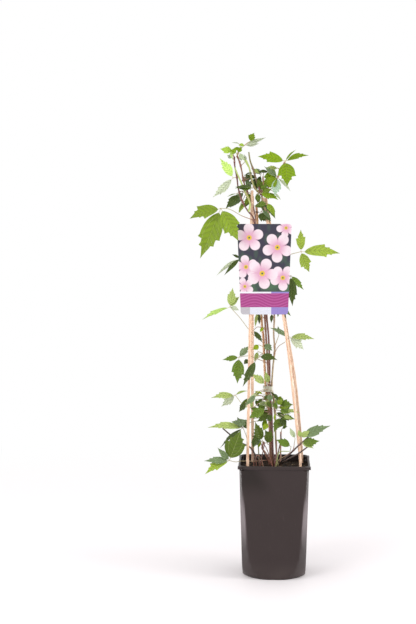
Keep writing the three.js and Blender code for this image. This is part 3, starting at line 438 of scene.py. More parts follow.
        Leaf([(0, 2, 319), (2, -6, 322), (4, -14, 320)], [
            Leaflet((15, -20, 332), 10, Tone.FRESH, Edge.TOOTHED),
        ]),
        Leaf([(-1, 2, 327), (-1, -7, 329), (-1, -16, 326)], [Leaflet((4, -20, 311), 8, Tone.MID)]),
        Leaf([(0, 3, 312), (3, -4, 314), (6, -10, 313)], [
            Leaflet((35, -18, 321), 16, Tone.FRESH, Edge.TOOTHED, Face.TILT),
        ]),
        Leaf([(1, 3, 304), (2, -2, 307), (2, -8, 305)], [Leaflet((25, -12, 295), 8, Tone.DARK)]),
        Leaf([(1, 3, 300), (8, -6, 302), (15, -16, 300)], [Leaflet((33, -22, 294), 7, Tone.LIGHT)]),
        Leaf([(2, 4, 286), (4, -1, 287), (7, -6, 285)], [Leaflet((23, -10, 279), 7, Tone.DARK)]),
        Leaf([(1, 3, 304), (1, -3, 306), (1, -10, 304)], [Leaflet((0, -12, 288), 4, Tone.YELLOW)]),
        Leaf([(-38, -4.5, 724), (-42, -14, 724)], [
            Leaflet((-75, -21, 721), 13, Tone.DARK, Edge.TOOTHED, Face.UP),
        ]),
        Leaf([(-46, -6, 745), (-43, -8, 751)], [
            Leaflet((-58, -12, 744), 6, Tone.DARK, Edge.PLAIN, Face.UP),
        ]),
        Leaf([(-40, 0, 749), (-38, 4, 751)], [
            Leaflet((-28, 7, 757), 10, Tone.GREY, Edge.PLAIN, Face.TILT),
        ]),
        Leaf([(-24, -1.5, 710), (-25, 5, 730), (-21, 8, 751)], [
            Leaflet((-33, 12, 751), 7, Tone.DARK, Edge.PLAIN, Face.UP),
            Leaflet((-13, 10, 754), 7, Tone.DARK, Edge.PLAIN, Face.UP),
        ]),
        Leaf([(2, -5, 739), (4, -8, 742)], [
            Leaflet((-21, -8, 762), 12, Tone.GREY, Edge.TOOTHED, Face.TILT),
            Leaflet((-18, -4, 724), 22, Tone.BRIGHT, Edge.TOOTHED),
            Leaflet((-2, -18, 707), 18, Tone.MINT, Edge.TOOTHED, Face.UNDER),
            Leaflet((28, -14, 716), 6, Tone.PALE, Edge.PLAIN, Face.UNDER),
        ]),
        Leaf([(16, -8, 768), (18, -9, 772)], [
            Leaflet((-33, -14, 780), 19, Tone.BRIGHT, Edge.LOBED),
            Leaflet((21, -24, 726), 31, Tone.BRIGHT, Edge.LOBED),
            Leaflet((61, -16, 782), 13, Tone.BRIGHT, Edge.TOOTHED, Face.TILT),
            Leaflet((38, -4, 793), 6, Tone.BRIGHT, Edge.PLAIN, Face.UP),
        ]),
        Leaf([(-24, -2, 711), (-22, -4, 712)], [
            Leaflet((5, -20, 700), 13, Tone.BRIGHT, Edge.TOOTHED, Face.TILT),
            Leaflet((-7, -10, 722), 8, Tone.BRIGHT),
        ]),
        Leaf([(-31, -3.5, 716), (-31, -14, 710)], [Leaflet((-32, -19, 697), 9, Tone.MID)]),
        Leaf([(-21.5, -1, 686), (-28, -12, 691), (-24, -18, 692)], [
            Leaflet((-1, -27, 666), 24, Tone.DARK, Edge.TOOTHED, Face.RIGHT),
        ]),
        Leaf([(-20, -1, 680), (-26, -8, 680), (-25, -15, 678)], [
            Leaflet((-26, -18, 660), 12, Tone.DARK), Leaflet((-8, -18, 661), 12, Tone.DARK, Edge.TOOTHED),
        ]),
        Leaf([(-5, -3, 574), (12, -2, 590), (27, -3, 599), (48, -8, 605)], [
            Leaflet((47, -12, 646), 16, Tone.SPRING, Edge.LOBED),
            Leaflet((119, -20, 602), 22, Tone.SPRING, Edge.LOBED),
            Leaflet((63, -12, 567), 20, Tone.SPRING, Edge.LOBED),
        ]),
        Leaf([(-2, -2.5, 515), (17, -6, 545), (29, -10, 561)], [
            Leaflet((32, -16, 504), 20, Tone.DARK, Edge.TOOTHED),
            Leaflet((53, -12, 534), 12, Tone.MID, Edge.TOOTHED),
        ]),
        Leaf([(-1, -2, 492), (9, -8, 506)], [
            Leaflet((5, -13, 483), 8, Tone.MID), Leaflet((21, -8, 480), 8, Tone.DARK),
            Leaflet((30, -6, 485), 8, Tone.MID),
        ]),
        Leaf([(-1, -2, 480), (-6, -6, 489)], [Leaflet((-7, -9, 472), 6, Tone.DARK)]),
        Leaf([(-0.5, -1, 414), (7, -2, 428), (20, -4, 437), (27, -6, 446)], [
            Leaflet((-10, -12, 464), 12, Tone.GREY, Edge.TOOTHED, Face.TILT),
            Leaflet((73, -14, 443), 15, Tone.LIGHT, Edge.LOBED, Face.TILT),
            Leaflet((53, -14, 423), 17, Tone.PALE, Edge.LOBED, Face.UNDER),
        ]),
        Leaf([(0, -1, 427), (8, 2, 449)], [Leaflet((6, 4, 466), 6, Tone.MID)]),
        Leaf([(-4.6, 2, 358), (-12, -10, 359)], [Leaflet((-18, -14, 383), 11, Tone.LIGHT)]),
        Leaf([(-4, 2, 338), (-9, -10, 340)], [Leaflet((-10, -15, 325), 12, Tone.GREY)]),
        Leaf([(-3.5, 2, 339), (-2, -8, 341)], [Leaflet((7, -15, 326), 7, Tone.DARK)]),
        Leaf([(-1, 2, 327), (0, -10, 330)], [
            Leaflet((-3, -15, 313), 7, Tone.YELLOW, Edge.PLAIN, Face.RIGHT),
        ]),
        Leaf([(0, 3, 311), (6, -8, 315), (12, -12, 317)], [
            Leaflet((32, -20, 322), 22, Tone.MID, Edge.TOOTHED), Leaflet((15, -14, 333), 10, Tone.MID),
            Leaflet((26, -19, 304), 14, Tone.MID, Edge.TOOTHED),
        ]),
        Leaf([(1.5, 3.5, 300), (10, -8, 296)], [
            Leaflet((38, -16, 293), 14, Tone.MID, Edge.TOOTHED, Face.TILT),
            Leaflet((22, -15, 278), 12, Tone.DARK), Leaflet((-2, -17, 268), 13, Tone.MID, Edge.TOOTHED),
        ]),
        Leaf([(0, 3, 319), (18, 6, 305)], [Leaflet((48, 12, 301), 8, Tone.LIGHT, Edge.PLAIN, Face.TILT)]),
    ]),
    Shoot("shoot_low_left", [
        Stem(Bark.RED, Bark.PINK, [
            (-4, 24, 170), (-7, 22, 200), (-18, 18, 225), (-22, 16, 234), (-19, 14, 246),
        ]),
    ], [
        Leaf([(-22, 16, 235), (-28, 8, 254), (-33, -2, 261)], [
            Leaflet((-41, -10, 236), 12, Tone.DARK, Edge.TOOTHED),
        ]),
        Leaf([(-20, 14, 243), (-25, 6, 249)], [Leaflet((-31, 0, 235), 6, Tone.YELLOW)]),
        Leaf([
            (-11, 21, 209), (-25, 8, 211), (-37, -10, 213), (-51, -35, 218), (-64, -42, 219),
            (-74, -44, 218), (-85, -46, 221),
        ], [
            Leaflet((-64, -53, 279), 36, Tone.FERN, Edge.TOOTHED), Leaflet((-107, -52, 246), 12, Tone.GREY),
            Leaflet((-132, -56, 222), 15, Tone.GREY, Edge.TOOTHED, Face.TILT),
            Leaflet((-130, -61, 198), 17, Tone.SPRING, Edge.LOBED, Face.TILT),
        ]),
    ]),
    Shoot("stub_left", [
        Stem(Bark.DARK, Bark.DARK, [
            (-22, 34, 170), (-25, 32, 200), (-35, 26, 219), (-45, 22, 234), (-66, 11, 246), (-85, 2, 263),
            (-97, -2, 274),
        ]),
    ], [
        Leaf([(-49, 20, 236.5), (-52, 8, 256), (-59, -6, 276)], [
            Leaflet((-125, -20, 278), 15, Tone.LIGHT, Edge.TOOTHED, Face.TILT),
            Leaflet((-82, -8, 285), 17, Tone.GREY, Edge.TOOTHED, Face.UNDER),
            Leaflet((-48, -10, 287), 14, Tone.DARK, Edge.TOOTHED), Leaflet((-70, -8, 296), 12, Tone.DARK),
            Leaflet((-102, -16, 239), 11, Tone.DARK, Edge.TOOTHED, Face.UP),
        ]),
    ]),
    Shoot("stubs_right", [
        Stem(Bark.DARK, Bark.DARK, [
            (12, 4, 170), (10, 3, 204), (24, -30, 227), (39, -52, 247), (49, -57, 257), (65, -60, 272),
        ]),
        Stem(Bark.DARK, Bark.DARK, [
            (10, 3, 200), (13, 1, 206), (26, -28, 221), (42, -52, 235), (59, -58, 249),
        ]),
    ], [
        Leaf([(33, -43, 239), (36, -46, 262)], [Leaflet((26, -44, 282), 9, Tone.PALE)]),
        Leaf([(26, -33, 229), (29, -40, 246)], [Leaflet((1, -36, 258), 15, Tone.MID, Edge.TOOTHED)]),
        Leaf([(45, -55, 253), (46, -59, 266)], [
            Leaflet((100, -60, 288), 21, Tone.GREY, Edge.TOOTHED, Face.TILT),
            Leaflet((62, -61, 279), 11, Tone.LIGHT), Leaflet((41, -59, 280), 9, Tone.LIGHT),
        ]),
        Leaf([(45, -55, 253), (47, -58, 256)], [
            Leaflet((80, -62, 260), 16, Tone.MID, Edge.TOOTHED), Leaflet((69, -62, 246), 9, Tone.LIGHT),
        ]),
    ]),
    Shoot("shoot_thin", [
        Stem(Bark.RED, Bark.PINK, [(-37, 15, 196), (-39, 14, 213), (-40, 12, 225), (-45, 9, 235)], 0.9),
        Stem(Bark.PLUM, Bark.OLIVE, [(-27, 9, 196), (-28, 8, 212), (-29, 6, 226), (-30, 4, 241)], 1.2),
        Stem(Bark.RED, Bark.PURPLE, [(-27, 3, 196), (-24, 2, 215), (-21, 0, 231), (-18, -2, 246)], 0.9),
        Stem(Bark.PLUM, Bark.PINK, [(-2, -7, 196), (-7, -8, 214), (-13, -10, 225), (-22, -12, 237)], 0.9),
        Stem(Bark.PINK, Bark.RED, [
            (-20, -4, 197), (-24, -6, 215), (-28, -12, 223), (-34, -14, 224), (-35, -12, 214),
            (-33, -11, 198),
        ], 0.9),
        Stem(Bark.PLUM, Bark.RED, [(0, -6, 196), (2, -6, 216), (4, -6, 232), (4, -6, 253)], 1.2),
        Stem(Bark.BROWN, Bark.DARK, [
            (1, 4, 196), (5, 4, 214), (9, 4, 234), (13, 4, 253), (12, 4, 262),
        ], 1.2),
        Stem(Bark.OLIVE, Bark.PINK, [(0, -13, 197), (8, -14, 216), (19, -18, 224), (32, -20, 233)], 0.9),
        Stem(Bark.OLIVE, Bark.LIME, [(1, -11, 197), (5, -12, 219), (10, -12, 231), (27, -12, 232)], 0.9),
        Stem(Bark.RED, Bark.PLUM, [(-3, -12, 197), (-7, -12, 215), (-15, -12, 237), (-22, -10, 248)], 0.9),
        Stem(Bark.PINK, Bark.PINK, [(13, 27, 170), (13, 24, 200), (13, 20, 235), (13, 11, 265)]),
    ], [
        Leaf([(13, 12, 262), (15, 8, 272)], [Leaflet((25, 5, 276), 7, Tone.MID, Edge.PLAIN, Face.TILT)]),
    ]),
)




def select_none() -> None:
    """Leaves nothing selected, in object mode."""
    if bpy.context.object and bpy.context.object.mode != "OBJECT":
        bpy.ops.object.mode_set(mode="OBJECT")
    bpy.ops.object.select_all(action="DESELECT")


def pick(piece: Piece, wanted: Callable[[bmesh.types.BMVert], bool]) -> None:
    """Selects the vertices of a piece in edit mode that are wanted, and no others."""
    shape = bmesh.from_edit_mesh(piece.data)
    for vert in shape.verts:
        vert.select_set(False)
    for vert in shape.verts:
        if wanted(vert):
            vert.select_set(True)
    shape.select_flush_mode()
    bmesh.update_edit_mesh(piece.data)


def select_only(*pieces: Piece) -> None:
    """Selects these pieces and no others, the first of them active."""
    select_none()
    for piece in pieces:
        piece.select_set(True)
    bpy.context.view_layer.objects.active = pieces[0]


def close_up(piece: Piece) -> None:
    """Merges doubled points of a closed piece, and turns its faces outwards."""
    select_only(piece)
    bpy.ops.object.mode_set(mode="EDIT")
    bpy.ops.mesh.select_all(action="SELECT")
    bpy.ops.mesh.remove_doubles(threshold=SAME_POINT)
    bpy.ops.mesh.normals_make_consistent(inside=False)
    bpy.ops.object.mode_set(mode="OBJECT")


def apply_modifier(piece: Piece, kind: str, **settings: object) -> None:
    """Adds a modifier of that kind to a piece, and applies it."""
    bpy.context.view_layer.objects.active = piece
    modifier = piece.modifiers.new(kind.title(), kind)
    for name, value in settings.items():
        setattr(modifier, name, value)
    bpy.ops.object.modifier_apply(modifier=modifier.name)


def join(name: str, pieces: Sequence[Piece]) -> Piece:
    """One object of that name made of all the pieces, at the origin, unturned and unscaled."""
    select_only(*pieces)
    if len(pieces) > 1:
        bpy.ops.object.join()
    whole = bpy.context.view_layer.objects.active
    whole.name = name
    whole.data.name = name
    select_only(whole)
    bpy.ops.object.transform_apply(location=True, rotation=True, scale=True)
    return whole


def boxy(angle: float, power: float) -> float:
    """How far out a square of half width 1 stands at an angle, rounder at its corners for a low power."""
    return (abs(math.cos(angle)) ** power + abs(math.sin(angle)) ** power) ** (-1 / power)


def around(count: int, shift: float = 0.0) -> list[float]:
    """The angles of so many places spread evenly round a full turn, moved on by a share of one step."""
    return [(index + shift) / count * FULL_TURN for index in range(count)]


def loft(name: str, rings: Sequence[Sequence[Sequence[float]]], capped: bool = True) -> Piece:
    """Extrudes a circle of edges from ring to ring.

    Args:
        name: The piece's name.
        rings: The points of each ring in metres, the same number in each.
        capped: Whether the first and last rings are filled.

    Returns:
        The piece, with its faces outwards where it is capped.
    """
    select_none()
    bpy.ops.mesh.primitive_circle_add(vertices=len(rings[0]), radius=MM, fill_type="NOTHING")
    piece = bpy.context.object
    piece.name = name
    bpy.ops.object.mode_set(mode="EDIT")
    shape = bmesh.from_edit_mesh(piece.data)
    spot = shape.verts.layers.int.new("spot")
    for index, vert in enumerate(shape.verts):
        vert[spot] = index
        vert.co = rings[0][index]
    if capped:
        bpy.ops.mesh.edge_face_add()
    for ring in rings[1:]:
        bpy.ops.mesh.extrude_edges_move() if not capped else bpy.ops.mesh.extrude_region_move()
        shape = bmesh.from_edit_mesh(piece.data)
        spot = shape.verts.layers.int["spot"]
        for vert in shape.verts:
            if vert.select:
                vert.co = ring[vert[spot]]
    bmesh.update_edit_mesh(piece.data)
    bpy.ops.mesh.select_all(action="SELECT")
    bpy.ops.mesh.normals_make_consistent(inside=False)
    bpy.ops.object.mode_set(mode="OBJECT")
    piece.data.attributes.remove(piece.data.attributes["spot"])
    return piece


def smooth_route(points: Sequence[Point], steps: int = 4) -> list[Vector]:
    """A smooth route in metres through points in millimetres, with so many steps from point to point."""
    route = [Vector(point) * MM for point in points]
    ends = [2 * route[0] - route[1], *route, 2 * route[-1] - route[-2]]
    found = []
    for before, start, end, after in zip(ends, ends[1:], ends[2:], ends[3:]):
        for step in range(steps):
            t = step / steps
            found.append(
                0.5
                * (
                    2 * start
                    + (end - before) * t
                    + (2 * before - 5 * start + 4 * end - after) * t**2
                    + (3 * start - before - 3 * end + after) * t**3
                )
            )
    found.append(route[-1])
    return found


def tube(name: str, route: Sequence[Vector], radii: Sequence[float], resolution: int = 2) -> Piece:
    """A round stem along a route, drawn as a path and made a mesh.

    Args:
        name: The piece's name.
        route: The points of its middle line, in metres.
        radii: Its radius at each of them.
        resolution: How round it is.

    Returns:
        The piece. Its vertices lie in rings: its far cap, its near cap, then one for each point.
    """
    select_none()
    bpy.ops.curve.primitive_nurbs_path_add()
    piece = bpy.context.object
    piece.name = name
    piece.location = (0, 0, 0)
    curve = piece.data
    curve.splines.clear()
    line = curve.splines.new("POLY")
    line.points.add(len(route) - 1)
    for spot, place, radius in zip(line.points, route, radii):
        spot.co = (*place, 1)
        spot.radius = radius
    curve.bevel_depth = 1
    curve.bevel_resolution = resolution
    curve.use_fill_caps = True
    bpy.ops.object.convert(target="MESH")
    return bpy.context.object


def by_ring(piece: Piece, values: Sequence[object]) -> np.ndarray:
    """One value for each vertex of a tube, from one for each point of its route."""
    rows = np.array([values[-1], values[0], *values], np.float32)
    return np.repeat(rows, len(piece.data.vertices) // len(rows), axis=0)


def tint(piece: Piece, colours: np.ndarray) -> None:
    """Writes one linear colour for each vertex of a piece into its tint attribute."""
    layer = piece.data.attributes.new("tint", "FLOAT_COLOR", "POINT")
    values = np.ones((len(piece.data.vertices), 4), np.float32)
    values[:, :3] = colours
    layer.data.foreach_set("color", values.ravel())


def points_of(piece: Piece) -> np.ndarray:
    """The places of a piece's vertices, as rows of three."""
    values = np.zeros(len(piece.data.vertices) * 3, np.float32)
    piece.data.vertices.foreach_get("co", values)
    return values.reshape(-1, 3).astype(float)


def set_points(piece: Piece, places: np.ndarray) -> None:
    """Puts a piece's vertices at these places."""
    piece.data.vertices.foreach_set("co", places.astype(np.float32).ravel())
    piece.data.update()


Term = Union["Wire", float]
Values = dict[Union[str, int], object]


class Wire:
    """An output socket that adds Math nodes where it is used in an expression."""

    def __init__(self, recipe: "Recipe", socket: bpy.types.NodeSocket) -> None:
        """Wraps a socket of a recipe's node tree."""
        self.recipe = recipe
        self.socket = socket

    def math(self, operation: str, *others: Term) -> "Wire":
        """A Math node on this value and the others."""
        return self.recipe.math(operation, self, *others)

    def __add__(self, other: Term) -> "Wire":
        """Adds."""
        return self.math("ADD", other)

    __radd__ = __add__

    def __sub__(self, other: Term) -> "Wire":
        """Takes the other from this."""
        return self.math("SUBTRACT", other)

    def __rsub__(self, other: Term) -> "Wire":
        """Takes this from the other."""
        return self.recipe.math("SUBTRACT", other, self)

    def __mul__(self, other: Term) -> "Wire":
        """Multiplies."""
        return self.math("MULTIPLY", other)

    __rmul__ = __mul__

    def __truediv__(self, other: Term) -> "Wire":
        """Divides this by the other."""
        return self.math("DIVIDE", other)

    def __pow__(self, other: Term) -> "Wire":
        """Raises this to the other."""
        return self.math("POWER", other)

    def __abs__(self) -> "Wire":
        """Its size without sign."""
        return self.math("ABSOLUTE")

    def step(self, low: float, high: float) -> "Wire":
        """Rises smoothly from 0 at low to 1 at high."""
        node = self.recipe.node(
            "ShaderNodeMapRange",
            {"interpolation_type": "SMOOTHSTEP"},
            {"Value": self, "From Min": low, "From Max": high, "To Min": 0.0, "To Max": 1.0},
        )
        return Wire(self.recipe, node.outputs["Result"])


class Recipe:
    """A material in the making: its node tree and its one Principled shader."""

    def __init__(self, name: str, fixed: dict[str, float]) -> None:
        """Starts a material.

        Args:
            name: The material's name.
            fixed: The shader's sockets that are the same all over.
        """
        self.material = bpy.data.materials.new(name)
        self.material.use_nodes = True
        self.tree = self.material.node_tree
        self.shader = self.tree.nodes["Principled BSDF"]
        for socket, value in fixed.items():
            self.shader.inputs[socket].default_value = value

    def node(self, kind: str, settings: Values | None = None, inputs: Values | None = None) -> bpy.types.Node:
        """Adds a node.

        Args:
            kind: The node's type.
            settings: Its settings by name. A ramp's stops are given under "stops".
            inputs: Values or wires of its sockets, by name or number.

        Returns:
            The node.
        """
        made = self.tree.nodes.new(kind)
        for name, value in (settings or {}).items():
            if name == "stops":
                self.set_stops(made.color_ramp, value)
            else:
                setattr(made, name, value)
        for name, value in (inputs or {}).items():
            if isinstance(value, Wire):
                self.tree.links.new(value.socket, made.inputs[name])
            else:
                made.inputs[name].default_value = value
        return made

    @staticmethod
    def set_stops(ramp: bpy.types.ColorRamp, stops: Sequence[tuple[float, Colour]]) -> None:
        """Gives a colour ramp these stops."""
        while len(ramp.elements) < len(stops):
            ramp.elements.new(1)
        for element, (place, colour) in zip(ramp.elements, stops):
            element.position = place
            element.color = (*colour, 1)

    def math(self, operation: str, *terms: Term) -> Wire:
        """A Math node on these terms."""
        made = self.node("ShaderNodeMath", {"operation": operation}, dict(enumerate(terms)))
        return Wire(self, made.outputs[0])

    def place(self, kind: str = "Object") -> Wire:
        """The coordinates of the surface: Object or UV."""
        return Wire(self, self.node("ShaderNodeTexCoord").outputs[kind])

    def stretched(self, vector: Wire, x: float, y: float, z: float) -> Wire:
        """Coordinates scaled along each axis."""
        made = self.node("ShaderNodeMapping", {}, {"Vector": vector, "Scale": (x, y, z)})
        return Wire(self, made.outputs["Vector"])

    def parts(self, vector: Wire) -> tuple[Wire, Wire, Wire]:
        """The x, y and z of a vector."""
        made = self.node("ShaderNodeSeparateXYZ", {}, {"Vector": vector})
        return tuple(Wire(self, output) for output in made.outputs)

    def attribute(self, name: str, output: str = "Color") -> Wire:
        """An attribute of the mesh."""
        return Wire(self, self.node("ShaderNodeAttribute", {"attribute_name": name}).outputs[output])

    def noise(self, vector: Wire, scale: float, detail: float = 3.0, distortion: float = 0.0) -> Wire:
        """Soft noise from 0 to 1."""
        inputs = {"Vector": vector, "Scale": scale, "Detail": detail, "Distortion": distortion}
        return Wire(self, self.node("ShaderNodeTexNoise", {}, inputs).outputs["Fac"])

    def cells(self, vector: Wire, scale: float, output: str = "Distance") -> Wire:
        """Voronoi cells."""
        made = self.node("ShaderNodeTexVoronoi", {}, {"Vector": vector, "Scale": scale})
        return Wire(self, made.outputs[output])

    def ramp(self, value: Wire, *stops: tuple[float, Colour]) -> Wire:
        """A colour ramp with these stops."""
        made = self.node("ShaderNodeValToRGB", {"stops": stops}, {"Fac": value})
        return Wire(self, made.outputs["Color"])

    def mix(self, share: Term, low: Wire | Colour, high: Wire | Colour) -> Wire:
        """Mixes two colours by a share."""
        first, second = (c if isinstance(c, Wire) else (*c, 1.0) for c in (low, high))
        made = self.node("ShaderNodeMix", {"data_type": "RGBA"}, {0: share, 6: first, 7: second})
        return Wire(self, made.outputs[2])

    def shaded(self, colour: Wire, value: Wire) -> Wire:
        """A colour made lighter or darker by a value."""
        made = self.node("ShaderNodeVectorMath", {"operation": "SCALE"}, {0: colour, "Scale": value})
        return Wire(self, made.outputs["Vector"])

    def finish(
        self,
        colour: Wire,
        roughness: Wire | float,
        height: Wire | None = None,
        depth: float = MM,
        strength: float = 1.0,
    ) -> Material:
        """Joins the shader's sockets.

        Args:
            colour: The base colour.
            roughness: The roughness.
            height: What the bump follows.
            depth: How high a height of 1 stands, in metres.
            strength: How strongly the bump shows.

        Returns:
            The material.
        """
        self.tree.links.new(colour.socket, self.shader.inputs["Base Color"])
        if isinstance(roughness, Wire):
            self.tree.links.new(roughness.socket, self.shader.inputs["Roughness"])
        else:
            self.shader.inputs["Roughness"].default_value = roughness
        if height is not None:
            inputs = {"Height": height, "Distance": depth, "Strength": strength}
            bump = self.node("ShaderNodeBump", {}, inputs)
            self.tree.links.new(bump.outputs["Normal"], self.shader.inputs["Normal"])
        return self.material


@dataclass(frozen=True)
class Finish:
    """A material: its name, how strongly it mirrors, and how it is painted."""

    name: str
    specular: float

    def material(self) -> Material:
        """Builds the material."""
        recipe = Recipe(self.name, {"Specular IOR Level": self.specular})
        return self.paint(recipe, recipe.place())

    def paint(self, recipe: Recipe, place: Wire) -> Material:
        """Paints the recipe.

        Args:
            recipe: The material in the making.
            place: The surface's own coordinates.

        Returns:
            The material.
        """
        raise NotImplementedError


@dataclass(frozen=True)
class MouldedPlastic(Finish):
    """The pot's thin satin plastic: scuffs, painted highlights on its corner strips, a dusty foot, and a soil
    stain with painted shade on the inner wall near the lip.

    The measures are the pot's own, in metres, and say where its corners and its inner wall lie.
    """

    name: str = "moulded_plastic"
    specular: float = 0.3
    body: Colour = linear(45, 34, 33)
    worn: Colour = linear(84, 72, 73)
    # The colour of the painted highlight on the corner strips.
    painted_corner_highlight: Colour = linear(118, 106, 109)
    dust: Colour = linear(100, 90, 86)
    # The dark colour of the inner wall above the soil: partly a soil stain, partly painted shade.
    stain: Colour = linear(26, 16, 11)
    lip: float = 0.0622
    foot_radius: float = 0.0597
    corner_reach: float = 0.0885
    round_depth: float = 0.018
    height: float = 0.213

    def paint(self, recipe: Recipe, place: Wire) -> Material:
        """Paints the recipe."""
        across, deep, height = recipe.parts(place)
        cloud = recipe.noise(place, 26, 5)
        inside = abs(across).math("MAXIMUM", abs(deep)).step(self.lip + 0.0012, self.lip - 0.0004)
        scuff = recipe.noise(recipe.stretched(place, 90, 90, 9), 9, 6).step(0.58, 0.78)
        grain = recipe.noise(place, 900, 2)
        colour = recipe.mix(scuff * 0.2, self.body, self.worn)
        colour = recipe.mix((0.03 - height).step(-0.01, 0.03) * cloud * 0.35, colour, self.dust)
        colour = recipe.mix(cloud * 0.1, colour, self.worn)
        # Painted highlight: the rounded corner strips are painted lighter at mid height, standing in for
        # reflected light.
        squared = (1 - (height / -self.round_depth).math("EXPONENT") + height / self.height) / 2
        reach = self.foot_radius + (self.corner_reach - self.foot_radius) * squared
        corner = ((across * across + deep * deep).math("SQRT") - reach).step(-0.0016, -0.0004)
        painted_highlight_mask = corner * height.step(0.05, 0.11) * height.step(0.175, 0.13)
        colour = recipe.mix(painted_highlight_mask * (0.7 + scuff * 0.2), colour, self.painted_corner_highlight)
        # Soil stain and painted shade: the inner wall above the soil is darkened, partly as a real stain and
        # partly standing in for the shade inside the pot.
        colour = recipe.mix(inside * height.step(0.15, 0.19) * (0.65 + cloud * 0.4), colour, self.stain)
        roughness = 0.36 + cloud * 0.16 + scuff * 0.12
        return recipe.finish(colour, roughness, grain * 0.4 + cloud * 0.6, 0.0004, 0.35)


@dataclass(frozen=True)
class PottingSoil(Finish):
    """Damp peat with bark crumbs and a few pale grains."""

    name: str = "potting_soil"
    specular: float = 0.2
    dark: Colour = linear(13, 8, 5)
    brown: Colour = linear(46, 31, 17)
    pale: Colour = linear(128, 108, 78)

    def paint(self, recipe: Recipe, place: Wire) -> Material:
        """Paints the recipe."""
        lumps = recipe.noise(place, 120, 8)
        crumbs = recipe.cells(place, 330)
        fleck = recipe.cells(place, 210, "Color")
        pale = recipe.parts(fleck)[0].step(0.93, 0.97)
        colour = recipe.ramp(lumps, (0.35, self.dark), (0.62, self.brown))
        colour = recipe.mix(pale * 0.6, colour, self.pale)
        return recipe.finish(colour, 0.85 + lumps * 0.12, lumps + crumbs * 0.6, 0.002)


@dataclass(frozen=True)
class SplitWood(Finish):
    """Pale split cane: straight fibres, darker streaks and patches."""

    name: str = "split_wood"
    specular: float = 0.3
    pale: Colour = linear(244, 212, 186)
    fibre: Colour = linear(204, 158, 126)
    streak: Colour = linear(168, 118, 84)

    def paint(self, recipe: Recipe, place: Wire) -> Material:
        """Paints the recipe."""
        grain = recipe.noise(recipe.stretched(place, 1, 1, 0.035), 900, 4)
        bands = recipe.noise(recipe.stretched(place, 1, 1, 0.06), 260, 3)
        patches = recipe.noise(place, 34, 3)
        colour = recipe.mix(grain.step(0.35, 0.7), self.pale, self.fibre)
        colour = recipe.mix(bands.step(0.55, 0.75) * 0.6, colour, self.streak)
        colour = recipe.mix(patches.step(0.5, 0.8) * 0.35, colour, self.fibre)
        return recipe.finish(colour, 0.52 + grain * 0.2, grain + bands * 0.5, 0.0005, 0.6)


@dataclass(frozen=True)
class BambooSkin(Finish):
    """The bamboo's glossy orange-brown skin, with pale dust under each node."""

    name: str = "bamboo_skin"
    specular: float = 0.5
    skin: Colour = linear(204, 150, 98)
    shade: Colour = linear(158, 104, 62)
    bloom: Colour = linear(226, 196, 156)

    def paint(self, recipe: Recipe, place: Wire) -> Material:
        """Paints the recipe."""
        grain = recipe.noise(recipe.stretched(place, 1, 1, 0.02), 1300, 3)
        patches = recipe.noise(place, 60, 4)
        knuckle = recipe.attribute("knuckle", "Fac")
        colour = recipe.mix(grain.step(0.3, 0.7) * 0.7, self.skin, self.shade)
        colour = recipe.mix(patches.step(0.52, 0.72) * 0.5, colour, self.shade)
        colour = recipe.mix(knuckle * 0.75, colour, self.bloom)
        return recipe.finish(colour, 0.34 + patches * 0.2, grain + knuckle, 0.0003, 0.5)


@dataclass(frozen=True)
class SoftTape(Finish):
    """Pale crinkled tie tape."""

    name: str = "soft_tape"
    specular: float = 0.45
    pale: Colour = linear(188, 186, 166)
    shade: Colour = linear(136, 134, 112)

    def paint(self, recipe: Recipe, place: Wire) -> Material:
        """Paints the recipe."""
        crinkle = recipe.noise(recipe.stretched(place, 1, 1, 0.25), 420, 4, 0.6)
        stain = recipe.noise(place, 150, 3)
        colour = recipe.mix(crinkle.step(0.4, 0.75) * 0.6, self.pale, self.shade)
        colour = recipe.mix(stain.step(0.5, 0.8) * 0.3, colour, self.shade)
        return recipe.finish(colour, 0.36 + stain * 0.2, crinkle, 0.0006, 0.7)


@dataclass(frozen=True)
class CoatedWire(Finish):
    """Dark brown coated wire."""

    name: str = "coated_wire"
    specular: float = 0.5
    dark: Colour = linear(70, 46, 38)
    worn: Colour = linear(124, 84, 66)

    def paint(self, recipe: Recipe, place: Wire) -> Material:
        """Paints the recipe."""
        wear = recipe.noise(place, 900, 4)
        colour = recipe.mix(wear.step(0.5, 0.75), self.dark, self.worn)
        return recipe.finish(colour, 0.32 + wear * 0.25, wear, 0.0002, 0.4)


@dataclass(frozen=True)
class YoungBark(Finish):
    """A vine's bark in the stem's own tint, with fine ridges along it."""

    name: str = "young_bark"
    specular: float = 0.4
    ridge: float = 0.55

    def paint(self, recipe: Recipe, place: Wire) -> Material:
        """Paints the recipe."""
        ridges = recipe.noise(recipe.stretched(place, 1, 1, 0.12), 1500, 3)
        blush = recipe.noise(place, 130, 4)
        colour = recipe.shaded(recipe.attribute("tint"), 0.72 + ridges * self.ridge)
        colour = recipe.mix(blush.step(0.5, 0.75) * 0.3, colour, Bark.RED.value)
        return recipe.finish(colour, 0.46 + blush * 0.22, ridges, 0.0003, 0.6)


